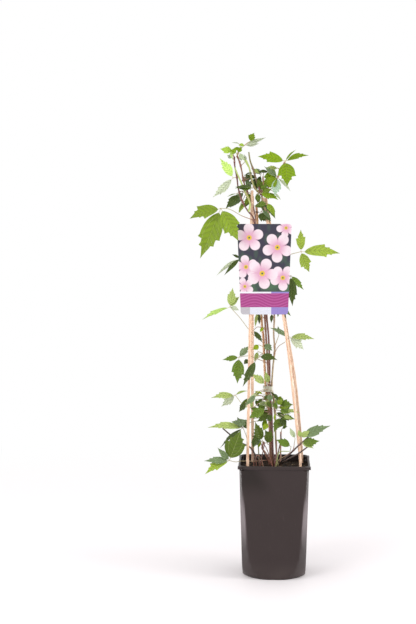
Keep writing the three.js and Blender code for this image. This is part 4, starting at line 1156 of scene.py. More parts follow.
@dataclass(frozen=True)
class LeafBlade(Finish):
    """A leaf blade in its own tint: paler veins sunk between quilted cells, mottling and fine down, with
    painted light and shade where it folds and where the cells quilt.
    """

    name: str = "leaf_blade"
    specular: float = 0.2
    midrib: float = 0.05
    side_veins: float = 7.5
    sweep: float = 0.5
    vein: Colour = linear(206, 218, 132)

    def paint(self, recipe: Recipe, place: Wire) -> Material:
        """Paints the recipe."""
        across, along, _ = recipe.parts(recipe.place("UV"))
        off = abs(across * 2 - 1)
        midrib = 1 - off.step(0.012, self.midrib)
        arc = (along * 3.05).math("SINE") * 0.66
        nerve = (1 - abs(off - arc).step(0.008, 0.05)) * 0.7
        waves = ((along - off * self.sweep * 0.4) * self.side_veins * math.pi).math("SINE")
        side = (1 - abs(waves).step(0.03, 0.26)) * 0.55
        veins = midrib.math("MAXIMUM", nerve).math("MAXIMUM", side)
        mottle = recipe.noise(place, 170, 5)
        cells = recipe.cells(place, 900)
        painted_fold_shade = recipe.noise(place, 46, 2)
        # Painted light and shade: a broad noise lightens and darkens the blade as its folds would catch the
        # light, and the quilted cells between side veins are painted lighter; only the mottle is the leaf's
        # own colour.
        light = 0.56 + mottle * 0.3 + abs(waves) * 0.16 + painted_fold_shade * 0.5
        colour = recipe.shaded(recipe.attribute("tint"), light)
        colour = recipe.mix(veins * 0.22, colour, self.vein)
        height = mottle * 0.3 - veins * 0.8 + abs(waves) * 0.6 + cells * 0.14
        return recipe.finish(colour, 0.4 + mottle * 0.22, height, 0.001, 0.9)


PETAL = linear(228, 210, 218)
PETAL_DEEP = linear(208, 150, 178)
POLLEN = linear(214, 178, 48)
INDIGO = linear(36, 30, 54)
GROVE = linear(58, 92, 62)
MAGENTA = linear(150, 44, 116)
WAVE = linear(182, 84, 150)
LILAC = linear(138, 122, 186)
LINE = linear(222, 220, 228)
FOOT = linear(208, 209, 220)
FOOT_EDGE = linear(176, 172, 178)
PAPER = linear(240, 236, 238)
PAPER_GREY = linear(214, 208, 212)


@dataclass(frozen=True)
class Rosette:
    """One printed flower: its middle from the card's, its reach in millimetres, its turn in radians."""

    across: float
    up: float
    reach: float
    turn: float
    petals: int = 5


@dataclass(frozen=True)
class PrintedCard:
    """A glossy printed card: pale rosettes on a dusky ground, a magenta band and a plain foot."""

    flowers: tuple[Rosette, ...] = (
        Rosette(40, 76, 18, 0.5),
        Rosette(-34, 4, 22, 0.8),
        Rosette(34, -16, 24, 0.3),
        Rosette(-28, 58, 27, 0.9),
        Rosette(24, 40, 28, 0.35),
        Rosette(-4, -8, 29, 0.1),
        Rosette(-36, -32, 17, 0.55),
    )
    band_bottom: float = -70.2
    band_top: float = -44.6
    line_top: float = -41.7
    lilac_from: float = 12
    edge_to: float = -27

    def flower(self, recipe: Recipe, ground: Wire, spot: Wire, bloom: Rosette) -> Wire:
        """Lays one rosette over the ground.

        Args:
            recipe: The material in the making.
            ground: The colour so far.
            spot: The place on the card in millimetres from its middle.
            bloom: The rosette.

        Returns:
            The colour with the rosette on it.
        """
        x, y, _ = recipe.parts(spot)
        x = x - bloom.across
        y = y - bloom.up
        out = (x * x + y * y) ** 0.5 / bloom.reach
        angle = recipe.math("ARCTAN2", y, x) + bloom.turn
        lobes = abs((angle * (bloom.petals / 2)).math("COSINE"))
        rim = 0.4 + lobes**0.5 * 0.6
        inside = 1 - (out - rim).step(-0.035, 0.02)
        shade = recipe.noise(spot, 0.05 + bloom.turn * 0.02, 2)
        tone = recipe.mix(out.step(0.1, 0.8), PETAL_DEEP, PETAL)
        tone = recipe.mix((1 - lobes.step(0.1, 0.5)) * 0.55, tone, PETAL_DEEP)
        lines = abs((angle * (bloom.petals * 5.5)).math("SINE")).step(0.0, 0.35)
        tone = recipe.mix((1 - lines) * 0.22, tone, PETAL_DEEP)
        tone = recipe.shaded(tone, 0.86 + shade * 0.26)
        tone = recipe.mix(1 - out.step(0.15, 0.2), tone, POLLEN)
        tone = recipe.mix(1 - out.step(0.04, 0.09), tone, GROVE)
        return recipe.mix(inside, ground, tone)

    def material(self) -> Material:
        """Builds the material."""
        gloss = {"Specular IOR Level": 0.5, "Coat Weight": 0.3, "Coat Roughness": 0.12}
        recipe = Recipe("printed_card", gloss)
        spot = recipe.place("UV")
        across, up, _ = recipe.parts(spot)
        dusk = recipe.noise(spot, 0.035, 2, 0.4)
        colour = recipe.mix((dusk - up * 0.004).step(0.4, 0.72), INDIGO, GROVE)
        leaves = recipe.cells(recipe.stretched(spot, 1, 0.45, 1), 0.09)
        colour = recipe.mix((1 - leaves.step(0.2, 0.55)) * 0.35, colour, GROVE)
        for bloom in self.flowers:
            colour = self.flower(recipe, colour, spot, bloom)
        waves = ((up + (across * 0.09).math("SINE") * 5) * 1.2 + across * 0.05).math("SINE")
        band = recipe.mix(waves.step(-0.2, 0.9) * 0.6, MAGENTA, WAVE)
        lilac = across.step(self.lilac_from, self.lilac_from + 1)
        foot = recipe.mix(lilac, FOOT, LILAC)
        foot = recipe.mix(1 - across.step(self.edge_to, self.edge_to + 1), foot, FOOT_EDGE)
        lower = recipe.mix(up.step(self.band_bottom - 0.2, self.band_bottom + 0.2), foot, band)
        line = recipe.mix(lilac, LINE, LILAC)
        lower = recipe.mix(up.step(self.band_top - 0.2, self.band_top + 0.2), lower, line)
        colour = recipe.mix(up.step(self.line_top - 0.2, self.line_top + 0.2), lower, colour)
        paper = recipe.noise(recipe.place(), 500, 3)
        blank = recipe.mix(paper * 0.2, PAPER, PAPER_GREY)
        colour = recipe.mix(recipe.attribute("printed", "Fac"), blank, colour)
        return recipe.finish(colour, 0.3 + paper * 0.12, paper, 0.0001, 0.3)


class Assembly:
    """A sub-assembly whose pieces ride on the plant's one body."""

    def keep(
        self, piece: Piece, material: Material, degrees: float, slot: str, *nodes: str
    ) -> Piece:
        """Shades and dresses a finished piece, and lets it ride on the body in place of its CAD nodes.

        Args:
            piece: The piece.
            material: Its one material.
            degrees: It is smooth except across edges sharper than this.
            slot: Not used.
            nodes: The CAD nodes that it stands for.

        Returns:
            The piece.
        """
        select_only(piece)
        bpy.ops.object.shade_smooth_by_angle(angle=math.radians(degrees))
        piece.data.materials.clear()
        piece.data.materials.append(material)
        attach(piece, "root")
        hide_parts(*nodes)
        LOG.info("%s: %d faces", piece.name, len(piece.data.polygons))
        return piece


@dataclass
class Pot(Assembly):
    """The square-topped, round-footed pot of thin moulded plastic. Sizes in millimetres."""

    height: float = 213
    foot_radius: float = 58.7
    body_half: float = 64.3
    corner_reach: float = 88.5
    round_depth: float = 18
    body_squareness: float = 26
    squareness: float = 10
    turn: float = -0.05
    rim_half: float = 66.2
    rim_depth: float = 6.6
    wall: float = 1.8
    floor: float = 2.4
    lug: float = 9
    lug_reach: float = 0.9
    drain_radius: float = 5
    drain_ring: float = 38
    drains: int = 6
    sides: int = 128
    finish: MouldedPlastic = MouldedPlastic()

    def ring(self, half: float, z: float, reach: float = math.inf) -> list[Point]:
        """A ring with four flat sides, its round corners no further out than a reach, in metres."""
        ring = []
        power = self.squareness if math.isinf(reach) else self.body_squareness
        for angle in around(self.sides, 0.5):
            out = min(half * boxy(angle, power), reach) * MM
            ring.append((out * math.cos(angle + self.turn), out * math.sin(angle + self.turn), z * MM))
        return ring

    def section(self, z: float, inset: float = 0) -> list[Point]:
        """The body's ring at a height: four flat panels that a cone rounds off, fully so at the foot."""
        share = z / self.height
        half = self.foot_radius + (self.body_half - self.foot_radius) * share
        squared = (1 - math.exp(-z / self.round_depth) + share) / 2
        reach = self.foot_radius + 1 + (self.corner_reach - self.foot_radius - 1) * squared
        return self.ring(half - inset, z, reach - inset)

    def body(self) -> Piece:
        """The wall, rolled rim and floor in one closed skin."""
        under = self.height - self.rim_depth
        foot = [self.section(1.2, 8), self.section(0, 7), self.section(0, 0.9), self.section(0.6, 0.2)]
        outside = [self.section(z) for z in (2.4, *range(12, 204, 8), 204.4)]
        profile = (
            (1.2, under), (0.3, under + 0.4), (0, under + 1.2), (0, self.height - 1.2),
            (0.35, self.height - 0.35), (1.1, self.height), (2.6, self.height), (3.4, self.height - 0.5),
        )
        rim = [self.ring(self.body_half + 0.1, under - 0.4)]
        rim += [self.ring(self.rim_half - inset, z) for inset, z in profile]
        inside = [self.section(z, self.wall) for z in (under, 196, 160, 120, 80, 40, 12, self.floor)]
        return loft("pot", foot + outside + rim + inside)

    def lugs(self) -> list[Piece]:
        """The small ears at the rim's corners."""
        made = []
        reach = self.rim_half + self.lug_reach - self.lug / 2
        level = self.height - self.rim_depth / 2 - 0.6
        size = [s * MM for s in (self.lug, self.lug * 1.6, self.rim_depth - 2)]
        for side, way in ((-1, -1), (-1, 1), (1, -1), (1, 1)):
            select_none()
            spot = (side * reach, way * (self.rim_half - self.lug), level)
            bpy.ops.mesh.primitive_cube_add(size=1, location=[s * MM for s in spot])
            bpy.ops.object.mode_set(mode="EDIT")
            bpy.ops.transform.resize(value=size)
            bpy.ops.mesh.bevel(offset=0.9 * MM, segments=3, affect="EDGES")
            bpy.ops.transform.rotate(value=-self.turn, orient_axis="Z", center_override=(0, 0, 0))
            bpy.ops.object.mode_set(mode="OBJECT")
            made.append(bpy.context.object)
        return made

    def build(self) -> Piece:
        """Builds and dresses the pot."""
        pot = self.body()
        cutters = []
        for angle in around(self.drains, 0.5):
            spot = (self.drain_ring * math.cos(angle) * MM, self.drain_ring * math.sin(angle) * MM, 0)
            select_none()
            bpy.ops.mesh.primitive_cylinder_add(
                vertices=20, radius=self.drain_radius * MM, depth=20 * MM, location=spot
            )
            cutters.append(bpy.context.object)
        cutter = join("drain_cutter", cutters)
        apply_modifier(pot, "BOOLEAN", object=cutter, operation="DIFFERENCE", solver="EXACT")
        bpy.data.objects.remove(cutter)
        pot = join("pot_shell", [pot, *self.lugs()])
        return self.keep(pot, self.finish.material(), 22, "pot", "pot")


@dataclass
class SoilBed(Assembly):
    """Compost up to a little under the pot's rim, with loose crumbs on top. Sizes in millimetres."""

    pot: Pot
    top: float = 200
    gap: float = 0.35
    rings: int = 26
    crumbs: int = 420
    large_crumbs: int = 30
    spread: float = 56
    seed: int = 11
    finish: PottingSoil = PottingSoil()

    def lump(self, x: float, y: float) -> float:
        """How high the surface stands at a place, in millimetres."""
        low = 1.1 * math.sin(x * 0.11 + 1.3) * math.cos(y * 0.09) + 0.8 * math.sin(x * 0.31 - y * 0.23)
        return low + 0.5 * math.sin(x * 0.83 + 2 * math.sin(y * 0.7)) * math.cos(y * 0.91)

    def bed(self) -> Piece:
        """The block of compost with its uneven top."""
        inset = self.pot.wall + self.gap
        rings = [self.pot.section(self.pot.floor + self.gap, inset + 0.4)]
        rings += [self.pot.section(z, inset) for z in (60, 120, 170, 192)]
        edge = self.pot.section(self.top, inset)
        for index in range(self.rings):
            share = 1 - index / self.rings
            calm = 1 - share**8
            inner = [(x * share, y * share, z) for x, y, z in edge]
            rings.append([(x, y, z + self.lump(x / MM, y / MM) * MM * calm) for x, y, z in inner])
        return loft("soil_bed", rings)

    def crumb(self) -> Piece:
        """One small lump of bark, modelled once."""
        select_none()
        bpy.ops.mesh.primitive_ico_sphere_add(subdivisions=1, radius=1)
        bpy.ops.object.mode_set(mode="EDIT")
        bpy.ops.transform.resize(value=(1, 0.7, 0.5))
        bpy.ops.mesh.bisect(plane_co=(0.45, 0, 0), plane_no=(1, 0.3, 0.2), use_fill=True, clear_outer=True)
        bpy.ops.object.mode_set(mode="OBJECT")
        return bpy.context.object

    def build(self) -> Piece:
        """Builds and dresses the bed with its crumbs."""
        dice = random.Random(self.seed)
        pattern = self.crumb()
        shape = points_of(pattern)
        crumbs = []
        for index in range(self.crumbs):
            x, y = dice.uniform(-self.spread, self.spread), dice.uniform(-self.spread, self.spread)
            size = dice.uniform(0.5, 1.5) if index >= self.large_crumbs else dice.uniform(1.4, 2.4)
            turn = dice.uniform(0, FULL_TURN)
            tip = dice.uniform(-0.6, 0.6)
            c, s = math.cos(turn), math.sin(turn)
            spin = np.array([[c, -s, 0], [s, c, 0], [0, 0, 1]])
            nod = np.array([[1, 0, 0], [0, math.cos(tip), -math.sin(tip)], [0, math.sin(tip), math.cos(tip)]])
            copy = pattern.copy()
            copy.data = pattern.data.copy()
            bpy.context.collection.objects.link(copy)
            spot = np.array([x, y, self.top + self.lump(x, y) + 0.15 * size])
            set_points(copy, (shape @ nod.T @ spin.T * size + spot) * MM)
            crumbs.append(copy)
        bpy.data.objects.remove(pattern)
        piece = join("soil_bed", [self.bed(), *crumbs])
        return self.keep(piece, self.finish.material(), 50, "soil", "soil")


FRONT_LEAN = 0.0786


def front_cane_y(z: float) -> float:
    """How far forward the front canes stand at a height, in millimetres."""
    return -46 + FRONT_LEAN * (z - 211)


@dataclass
class SplitCane(Assembly):
    """One split stick: half round, a little uneven, cut off square at the top. Sizes in millimetres."""

    name: str
    route: list[Point]
    flat: float
    radius: float = 2.8
    sides: int = 20
    rings: int = 46
    seed: int = 3

    def section(self, turn: float, swell: float) -> list[tuple[float, float]]:
        """The D-shaped section, with its flat face turned to an angle."""
        ring = []
        for angle in around(self.sides):
            x, y = math.cos(angle), math.sin(angle)
            x = min(x, 0.42 + 0.02 * math.sin(9 * angle))
            size = self.radius * swell * (1 + 0.03 * math.sin(3 * angle + self.seed))
            c, s = math.cos(turn), math.sin(turn)
            ring.append((size * (x * c - y * s), size * (x * s + y * c)))
        return ring

    def build(self, wood: Material) -> Piece:
        """Builds the cane and dresses it in the wood."""
        points = smooth_route(self.route, 24)
        marks = [points[round(i * (len(points) - 1) / self.rings)] for i in range(self.rings + 1)]
        dice = random.Random(self.seed)
        rings = []
        for index, mark in enumerate(marks):
            swell = 0.97 + 0.03 * math.sin(index * 0.9 + self.seed) + dice.uniform(-0.012, 0.012)
            turn = self.flat + 0.1 * math.sin(index * 0.15 + self.seed)
            chamfer = 0.86 if index == self.rings else 1.0
            outline = [(x * MM, y * MM) for x, y in self.section(turn, swell)]
            rings.append([(mark.x + x * chamfer, mark.y + y * chamfer, mark.z) for x, y in outline])
            if index == self.rings - 1:
                last = marks[-1] - (marks[-1] - mark).normalized() * 0.5 * MM
                rings.append([(last.x + x, last.y + y, last.z) for x, y in outline])
        piece = loft(self.name + "_stick", rings)
        return self.keep(piece, wood, 36, "cane", self.name)


@dataclass
class BambooCane(Assembly):
    """The thin bamboo in the middle, with its swollen nodes. Sizes in millimetres."""

    route: list[Point]
    radius: float = 2.6
    nodes: tuple[float, ...] = (232, 296, 338, 398, 461, 530, 598, 662)
    finish: BambooSkin = BambooSkin()

    def build(self) -> Piece:
        """Builds and dresses the bamboo."""
        points = smooth_route(self.route, 36)
        heights = [point.z / MM for point in points]
        knuckles = [max(math.exp(-(((z - node) / 1.7) ** 2)) for node in self.nodes) for z in heights]
        dips = [max(math.exp(-(((z - node + 3.4) / 1.8) ** 2)) for node in self.nodes) for z in heights]
        radii = [self.radius * (0.9 + 0.14 * k - 0.05 * d) * MM for k, d in zip(knuckles, dips)]
        piece = tube("cane_bamboo_stick", points, radii, 5)
        layer = piece.data.attributes.new("knuckle", "FLOAT", "POINT")
        layer.data.foreach_set("value", by_ring(piece, dips))
        close_up(piece)
        return self.keep(piece, self.finish.material(), 50, "bamboo", "cane_bamboo")


@dataclass
class TieTape(Assembly):
    """The pale tape wound round the stems and the bamboo. Sizes in millimetres."""

    left: float = -21.4
    right: float = -2.6
    front: float = -1.9
    back: float = 11.2
    bottom: float = 342
    height: float = 11
    thickness: float = 0.8
    squareness: float = 3.4
    sides: int = 72
    rows: int = 9
    finish: SoftTape = SoftTape()

    def ring(self, row: int, inset: float) -> list[Point]:
        """One ring of the band, with the tape's slack in it."""
        middle = ((self.left + self.right) / 2, (self.front + self.back) / 2)
        half = ((self.right - self.left) / 2 - inset, (self.back - self.front) / 2 - inset)
        z = self.bottom + self.height * row / self.rows
        ring = []
        for angle in around(self.sides):
            out = boxy(angle, self.squareness)
            slack = 0.22 * math.sin(7 * angle + row * 0.9) * math.sin(row * 1.1 + angle * 2)
            x = middle[0] + (half[0] + slack) * out * math.cos(angle)
            y = middle[1] + (half[1] + slack) * out * math.sin(angle)
            ring.append((x * MM, y * MM, (z + 0.35 * math.sin(3 * angle)) * MM))
        return ring

    def build(self) -> Piece:
        """Builds and dresses the tape."""
        up = [self.ring(row, 0.2) for row in range(self.rows + 1)]
        down = [self.ring(row, self.thickness) for row in range(self.rows, -1, -1)]
        band = loft("tie_tape", [*up, *down, up[0]], capped=False)
        close_up(band)
        return self.keep(band, self.finish.material(), 50, "tape", "stem_tape")


@dataclass
class WireRing(Assembly):
    """The small wire loop round the bamboo's top, wound twice. Sizes in millimetres."""

    middle: Point = (-34.1, 1.6, 678)
    radius: float = 3.9
    section: float = 0.85
    turns: int = 2
    steps: int = 28
    rise: float = 1.1
    finish: CoatedWire = CoatedWire()

    def build(self) -> Piece:
        """Builds and dresses the ring."""
        route = []
        last = self.steps * self.turns
        for index in range(last + 1):
            angle = index / self.steps * FULL_TURN - 0.6
            rise = (index / last - 0.5) * self.rise
            route.append(
                Vector((
                    (self.middle[0] + self.radius * math.cos(angle)) * MM,
                    (self.middle[1] + self.radius * math.sin(angle)) * MM,
                    (self.middle[2] + rise) * MM,
                ))
            )
        piece = tube("wire_ring_loop", route, [self.section * 0.62 * MM] * len(route), 3)
        close_up(piece)
        return self.keep(piece, self.finish.material(), 60, "wire", "wire_ring")


@dataclass
class CareLabel(Assembly):
    """The printed card that leans on the front canes, held by a strap round the left one. Millimetres."""

    top_width: float = 101
    bottom_width: float = 87
    length: float = 167
    corner: float = 5
    thickness: float = 0.6
    middle: tuple[float, float] = (-20.5, 573)
    lean: float = FRONT_LEAN
    away: float = 4.05
    bow: float = 0.5
    strap: tuple[float, float, float] = (-44.0, 639.0, 6.0)
    finish: PrintedCard = PrintedCard()

    def card(self) -> Piece:
        """The card with rounded corners and a soft bow, and its print's coordinates in millimetres."""
        select_none()
        bpy.ops.mesh.primitive_plane_add(size=1)
        card = bpy.context.object
        bpy.ops.object.mode_set(mode="EDIT")
        bpy.ops.transform.resize(value=(self.bottom_width, self.length, 1))
        pick(card, lambda vert: vert.co.y > 0)
        bpy.ops.transform.resize(
            value=(self.top_width / self.bottom_width, 1, 1), center_override=(0, self.length / 2, 0)
        )
        bpy.ops.mesh.select_all(action="SELECT")
        bpy.ops.mesh.bevel(offset=self.corner, segments=6, affect="VERTICES")
        bpy.ops.mesh.select_all(action="SELECT")
        for z in range(-75, 80, 10):
            bpy.ops.mesh.select_all(action="SELECT")
            bpy.ops.mesh.bisect(plane_co=(0, z, 0), plane_no=(0, 1, 0))
        for x in range(-40, 45, 10):
            bpy.ops.mesh.select_all(action="SELECT")
            bpy.ops.mesh.bisect(plane_co=(x, 0, 0), plane_no=(1, 0, 0))
        bpy.ops.object.mode_set(mode="OBJECT")
        flat = card.data.uv_layers.active or card.data.uv_layers.new(name="UVMap")
        for loop in card.data.loops:
            spot = card.data.vertices[loop.vertex_index].co
            flat.data[loop.index].uv = (spot.x, spot.y)
        apply_modifier(card, "SOLIDIFY", thickness=self.thickness, offset=0)
        printed = card.data.attributes.new("printed", "FLOAT", "FACE")
        printed.data.foreach_set("value", [float(face.normal.z > 0.5) for face in card.data.polygons])
        places = points_of(card)
        tilt = math.atan(self.lean)
        x, z = self.middle
        bow = -self.bow * np.cos(places[:, 0] / self.top_width * math.pi)
        bow = bow * np.cos(places[:, 1] / self.length * math.pi)
        out = places[:, 2] + bow + 0.25
        placed = np.column_stack([
            x + places[:, 0],
            front_cane_y(z) - self.away + places[:, 1] * math.sin(tilt) - out * math.cos(tilt),
            z + places[:, 1] * math.cos(tilt) + out * math.sin(tilt),
        ])
        set_points(card, placed * MM)
        return card

    def strap_loop(self) -> Piece:
        """The strap round the left cane."""
        x, z, height = self.strap
        rings = []
        profile = (
            (4.3, 0), (4.35, 0.5), (4.35, height - 0.5), (4.3, height), (3.75, height), (3.7, 0), (4.3, 0),
        )
        for radius, level in profile:
            y = front_cane_y(z + level)
            rings.append([
                ((x + radius * math.cos(a)) * MM, (y + radius * math.sin(a)) * MM, (z + level) * MM)
                for a in around(40)
            ])
        strap = loft("strap", rings, capped=False)
        close_up(strap)
        return strap

    def build(self) -> Piece:
        """Builds and dresses the label."""
        card = self.card()
        strap = self.strap_loop()
        strap.data.attributes.new("printed", "FLOAT", "FACE")
        piece = join("label_card", [card, strap])
        return self.keep(piece, self.finish.material(), 40, "label", "label")


class LeafPattern:
    """The flat leaflets of unit size, two mirrored ones for each outline, that every leaflet is a copy of."""

    COLUMNS = 8

    def __init__(self) -> None:
        """Models the leaflets."""
        kinds = [(edge, mirrored) for edge in Edge for mirrored in (False, True)]
        self.models = {kind: self.model(*kind) for kind in kinds}

    def model(self, edge: Edge, mirrored: bool) -> Piece:
        """Models one leaflet from a grid whose rows are drawn in to the outline.

        Args:
            edge: The outline.
            mirrored: Whether its left and right change places.

        Returns:
            The leaflet, 2 wide, 1 long and 1 thick.
        """
        rows = edge.value
        select_none()
        bpy.ops.mesh.primitive_grid_add(x_subdivisions=self.COLUMNS, y_subdivisions=len(rows) - 1, size=2)
        leaflet = bpy.context.object
        leaflet.name = "leaflet_" + edge.name.lower()
        bpy.ops.object.mode_set(mode="EDIT")
        starts = [-1 + 2 * index / (len(rows) - 1) for index in range(len(rows))]
        shape = bmesh.from_edit_mesh(leaflet.data)
        row_of = shape.verts.layers.int.new("row")
        for vert in shape.verts:
            vert[row_of] = min(range(len(rows)), key=lambda index: abs(starts[index] - vert.co.y))
        for index, (along, left, right) in enumerate(rows):
            shares = (right, left) if mirrored else (left, right)
            for side, share in zip((-1, 1), shares):
                pick(leaflet, lambda vert: vert[row_of] == index and vert.co.x * side > 1e-4)
                wide = max(share, 0.004)
                bpy.ops.transform.resize(value=(wide, 1, 1), center_override=(0, starts[index], 0))
            pick(leaflet, lambda vert: vert[row_of] == index)
            bpy.ops.transform.translate(value=(0, along - starts[index], 0))
        bpy.ops.object.mode_set(mode="OBJECT")
        layer = leaflet.data.uv_layers.active or leaflet.data.uv_layers.new(name="UVMap")
        for loop in leaflet.data.loops:
            spot = leaflet.data.vertices[loop.vertex_index].co
            layer.data[loop.index].uv = (0.5 + spot.x / 2, spot.y)
        apply_modifier(leaflet, "SOLIDIFY", thickness=1, offset=0)
        leaflet.data.attributes.remove(leaflet.data.attributes["row"])
        return leaflet

    def copy(self, edge: Edge, mirrored: bool) -> Piece:
        """A copy of one leaflet with its own mesh."""
        leaflet = self.models[edge, mirrored].copy()
        leaflet.data = self.models[edge, mirrored].data.copy()
        bpy.context.collection.objects.link(leaflet)
        return leaflet

    def put_away(self) -> None:
        """Removes the models once everything is copied from them."""
        for leaflet in self.models.values():
            bpy.data.objects.remove(leaflet)


@dataclass
class LeafyShoot(Assembly):
    """One shoot's stems, petioles and leaflets, in millimetres. Pairs are ranges of random draws."""

    shoot: Shoot
    pattern: LeafPattern
    bark: Material
    blade: Material
    stem_radius: float = 1.6
    petiole_radius: float = 0.72
    thickness: float = 0.34
    stalk_share: float = 0.09
    fullness: float = 1.03
    fold: tuple[float, float] = (0.16, 0.46)
    arch: tuple[float, float] = (0.04, 0.09)
    droop: tuple[float, float] = (0.0, 0.05)
    wave: tuple[float, float] = (0.04, 0.09)
    twist: tuple[float, float] = (-0.16, 0.16)
    curl: tuple[float, float] = (-0.05, 0.05)
    light: tuple[float, float] = (0.88, 1.1)
    dice: random.Random = field(default_factory=lambda: random.Random(5))

    def stem(self, stem: Stem) -> Piece:
        """One stem, swollen and reddish where a leaf stands."""
        points = smooth_route(stem.route, 5)
        starts = [Vector(leaf.petiole[0]) * MM for leaf in self.shoot.leaves]
        near = [min((point - start).length for start in starts) / MM if starts else 99 for point in points]
        swell = [math.exp(-((gap / 3.2) ** 2)) for gap in near]
        last = len(points) - 1
        radii = []
        for index in range(last + 1):
            share = index / last
            thin = min(stem.girth, self.stem_radius) * (1.12 - 0.3 * share)
            woody = max(0, stem.girth - self.stem_radius) * max(0, 1 - 1.7 * share)
            radii.append((thin + woody + 0.6 * swell[index]) * MM)
        piece = tube("stem", points, radii, 2)
        colours = []
        for index in range(last + 1):
            tone = blended(stem.foot.value, stem.top.value, index / last)
            colours.append(blended(tone, Bark.RED.value, 0.45 * swell[index]))
        tint(piece, by_ring(piece, colours))
        return piece

    def stalk(self, leaf: Leaf) -> Piece:
        """One petiole, thicker at its foot."""
        points = smooth_route(leaf.petiole, 4)
        last = len(points) - 1
        radii = [self.petiole_radius * (1.3 - 0.5 * (index / last) ** 0.5) * MM for index in range(last + 1)]
        piece = tube("petiole", points, radii, 1)
        leaf_tone = leaf.leaflets[0].tone.value[1]
        top = blended(Bark.PINK.value, leaf_tone, 0.55)
        foot = blended(Bark.PINK.value, Bark.RED.value, 0.5)
        colours = [blended(foot, top, min(1, 1.4 * index / last)) for index in range(last + 1)]
        tint(piece, by_ring(piece, colours))
        return piece

    def stalklet(self, leaf: Leaf, spec: Leaflet) -> Piece:
        """The short stalk that carries one leaflet."""
        root, tip = Vector(leaf.petiole[-1]), Vector(spec.tip)
        route = [(root + (tip - root) * share) * MM for share in (0, 0.05, self.stalk_share * 1.25)]
        radii = [self.petiole_radius * share * MM for share in (0.85, 0.7, 0.6)]
        piece = tube("stalklet", route, radii, 1)
        tones = [blended(Bark.PINK.value, spec.tone.value[1], share) for share in (0.3, 0.6, 0.9)]
        tint(piece, by_ring(piece, tones))
        return piece

    def leaflet(self, leaf: Leaf, spec: Leaflet) -> Piece:
        """One leaflet: a copy of its pattern, folded along the midrib, arched, waved and tinted."""
        root, tip = Vector(leaf.petiole[-1]), Vector(spec.tip)
        length = (tip - root).length
        along = (tip - root).normalized()
        face = Vector(spec.face.value)
        up = (face - along * face.dot(along)).normalized()
        aside = along.cross(up)
        piece = self.pattern.copy(spec.edge, self.dice.random() < 0.5)
        flat = points_of(piece)
        x, t, side = flat[:, 0], flat[:, 1], flat[:, 2]
        root = root + along * length * self.stalk_share
        length = length * (1 - self.stalk_share)
        half = spec.width * self.fullness / 2
        fold = self.dice.uniform(*self.fold)
        arch = self.dice.uniform(*self.arch) * length
        droop = self.dice.uniform(*self.droop) * length
        wave = self.dice.uniform(*self.wave) * half
        phase = self.dice.uniform(0, 6.28)
        twist = self.dice.uniform(*self.twist)
        curl = self.dice.uniform(*self.curl) * length
        edge = np.abs(x)
        lift = arch * np.sin(np.pi * t) - droop * t * t * np.sin(np.pi * t)
        lift = lift + half * fold * edge * (1 - 0.45 * edge) + half * twist * x * t
        lift = lift + wave * edge**2 * np.sin(9.5 * t + phase + np.sign(x))
        lift = lift + side * self.thickness
        sideways = x * half * (1 - 0.12 * fold) + curl * np.sin(np.pi * t)
        places = np.outer(t * length, along) + np.outer(sideways, aside) + np.outer(lift, up) + np.array(root)
        set_points(piece, places * MM)
        light = self.dice.uniform(*self.light)
        upper, under = (np.array(colour) * light for colour in spec.tone.value)
        share = np.clip(side + 0.5, 0, 1)[:, None]
        tint(piece, under * (1 - share) + upper * share)
        return piece

    def build(self) -> list[Piece]:
        """Builds and dresses the shoot."""
        woody = [self.stem(stem) for stem in self.shoot.stems]
        woody += [self.stalk(leaf) for leaf in self.shoot.leaves]
        woody += [self.stalklet(leaf, spec) for leaf in self.shoot.leaves for spec in leaf.leaflets]
        stems = join(self.shoot.name + "_stems", woody)
        close_up(stems)
        blades = [self.leaflet(leaf, spec) for leaf in self.shoot.leaves for spec in leaf.leaflets]
        leaves = join(self.shoot.name + "_leaves", blades)
        pairs = ((stems, self.bark), (leaves, self.blade))
        return [self.keep(piece, material, 60, "leaf", self.shoot.name) for piece, material in pairs]


@dataclass(frozen=True)
class Lamp:
    """A square area light: its place in metres, its side, its watts, what it looks at, and who sees it."""

    name: str
    spot: Point
    size: float
    power: float
    aim: Point = (0, 0, 0.4)
    glossy_only: bool = False

    def build(self) -> None:
        """Hangs the light, itself out of sight."""
        bpy.ops.object.light_add(type="AREA", location=self.spot)
        light = bpy.context.object
        light.name = self.name
        light.data.size = self.size
        light.data.energy = self.power
        light.visible_camera = False
        light.visible_diffuse = not self.glossy_only
        light.visible_transmission = not self.glossy_only
        aim = Vector(self.aim) - Vector(self.spot)
        light.rotation_euler = aim.to_track_quat("-Z", "Y").to_euler()


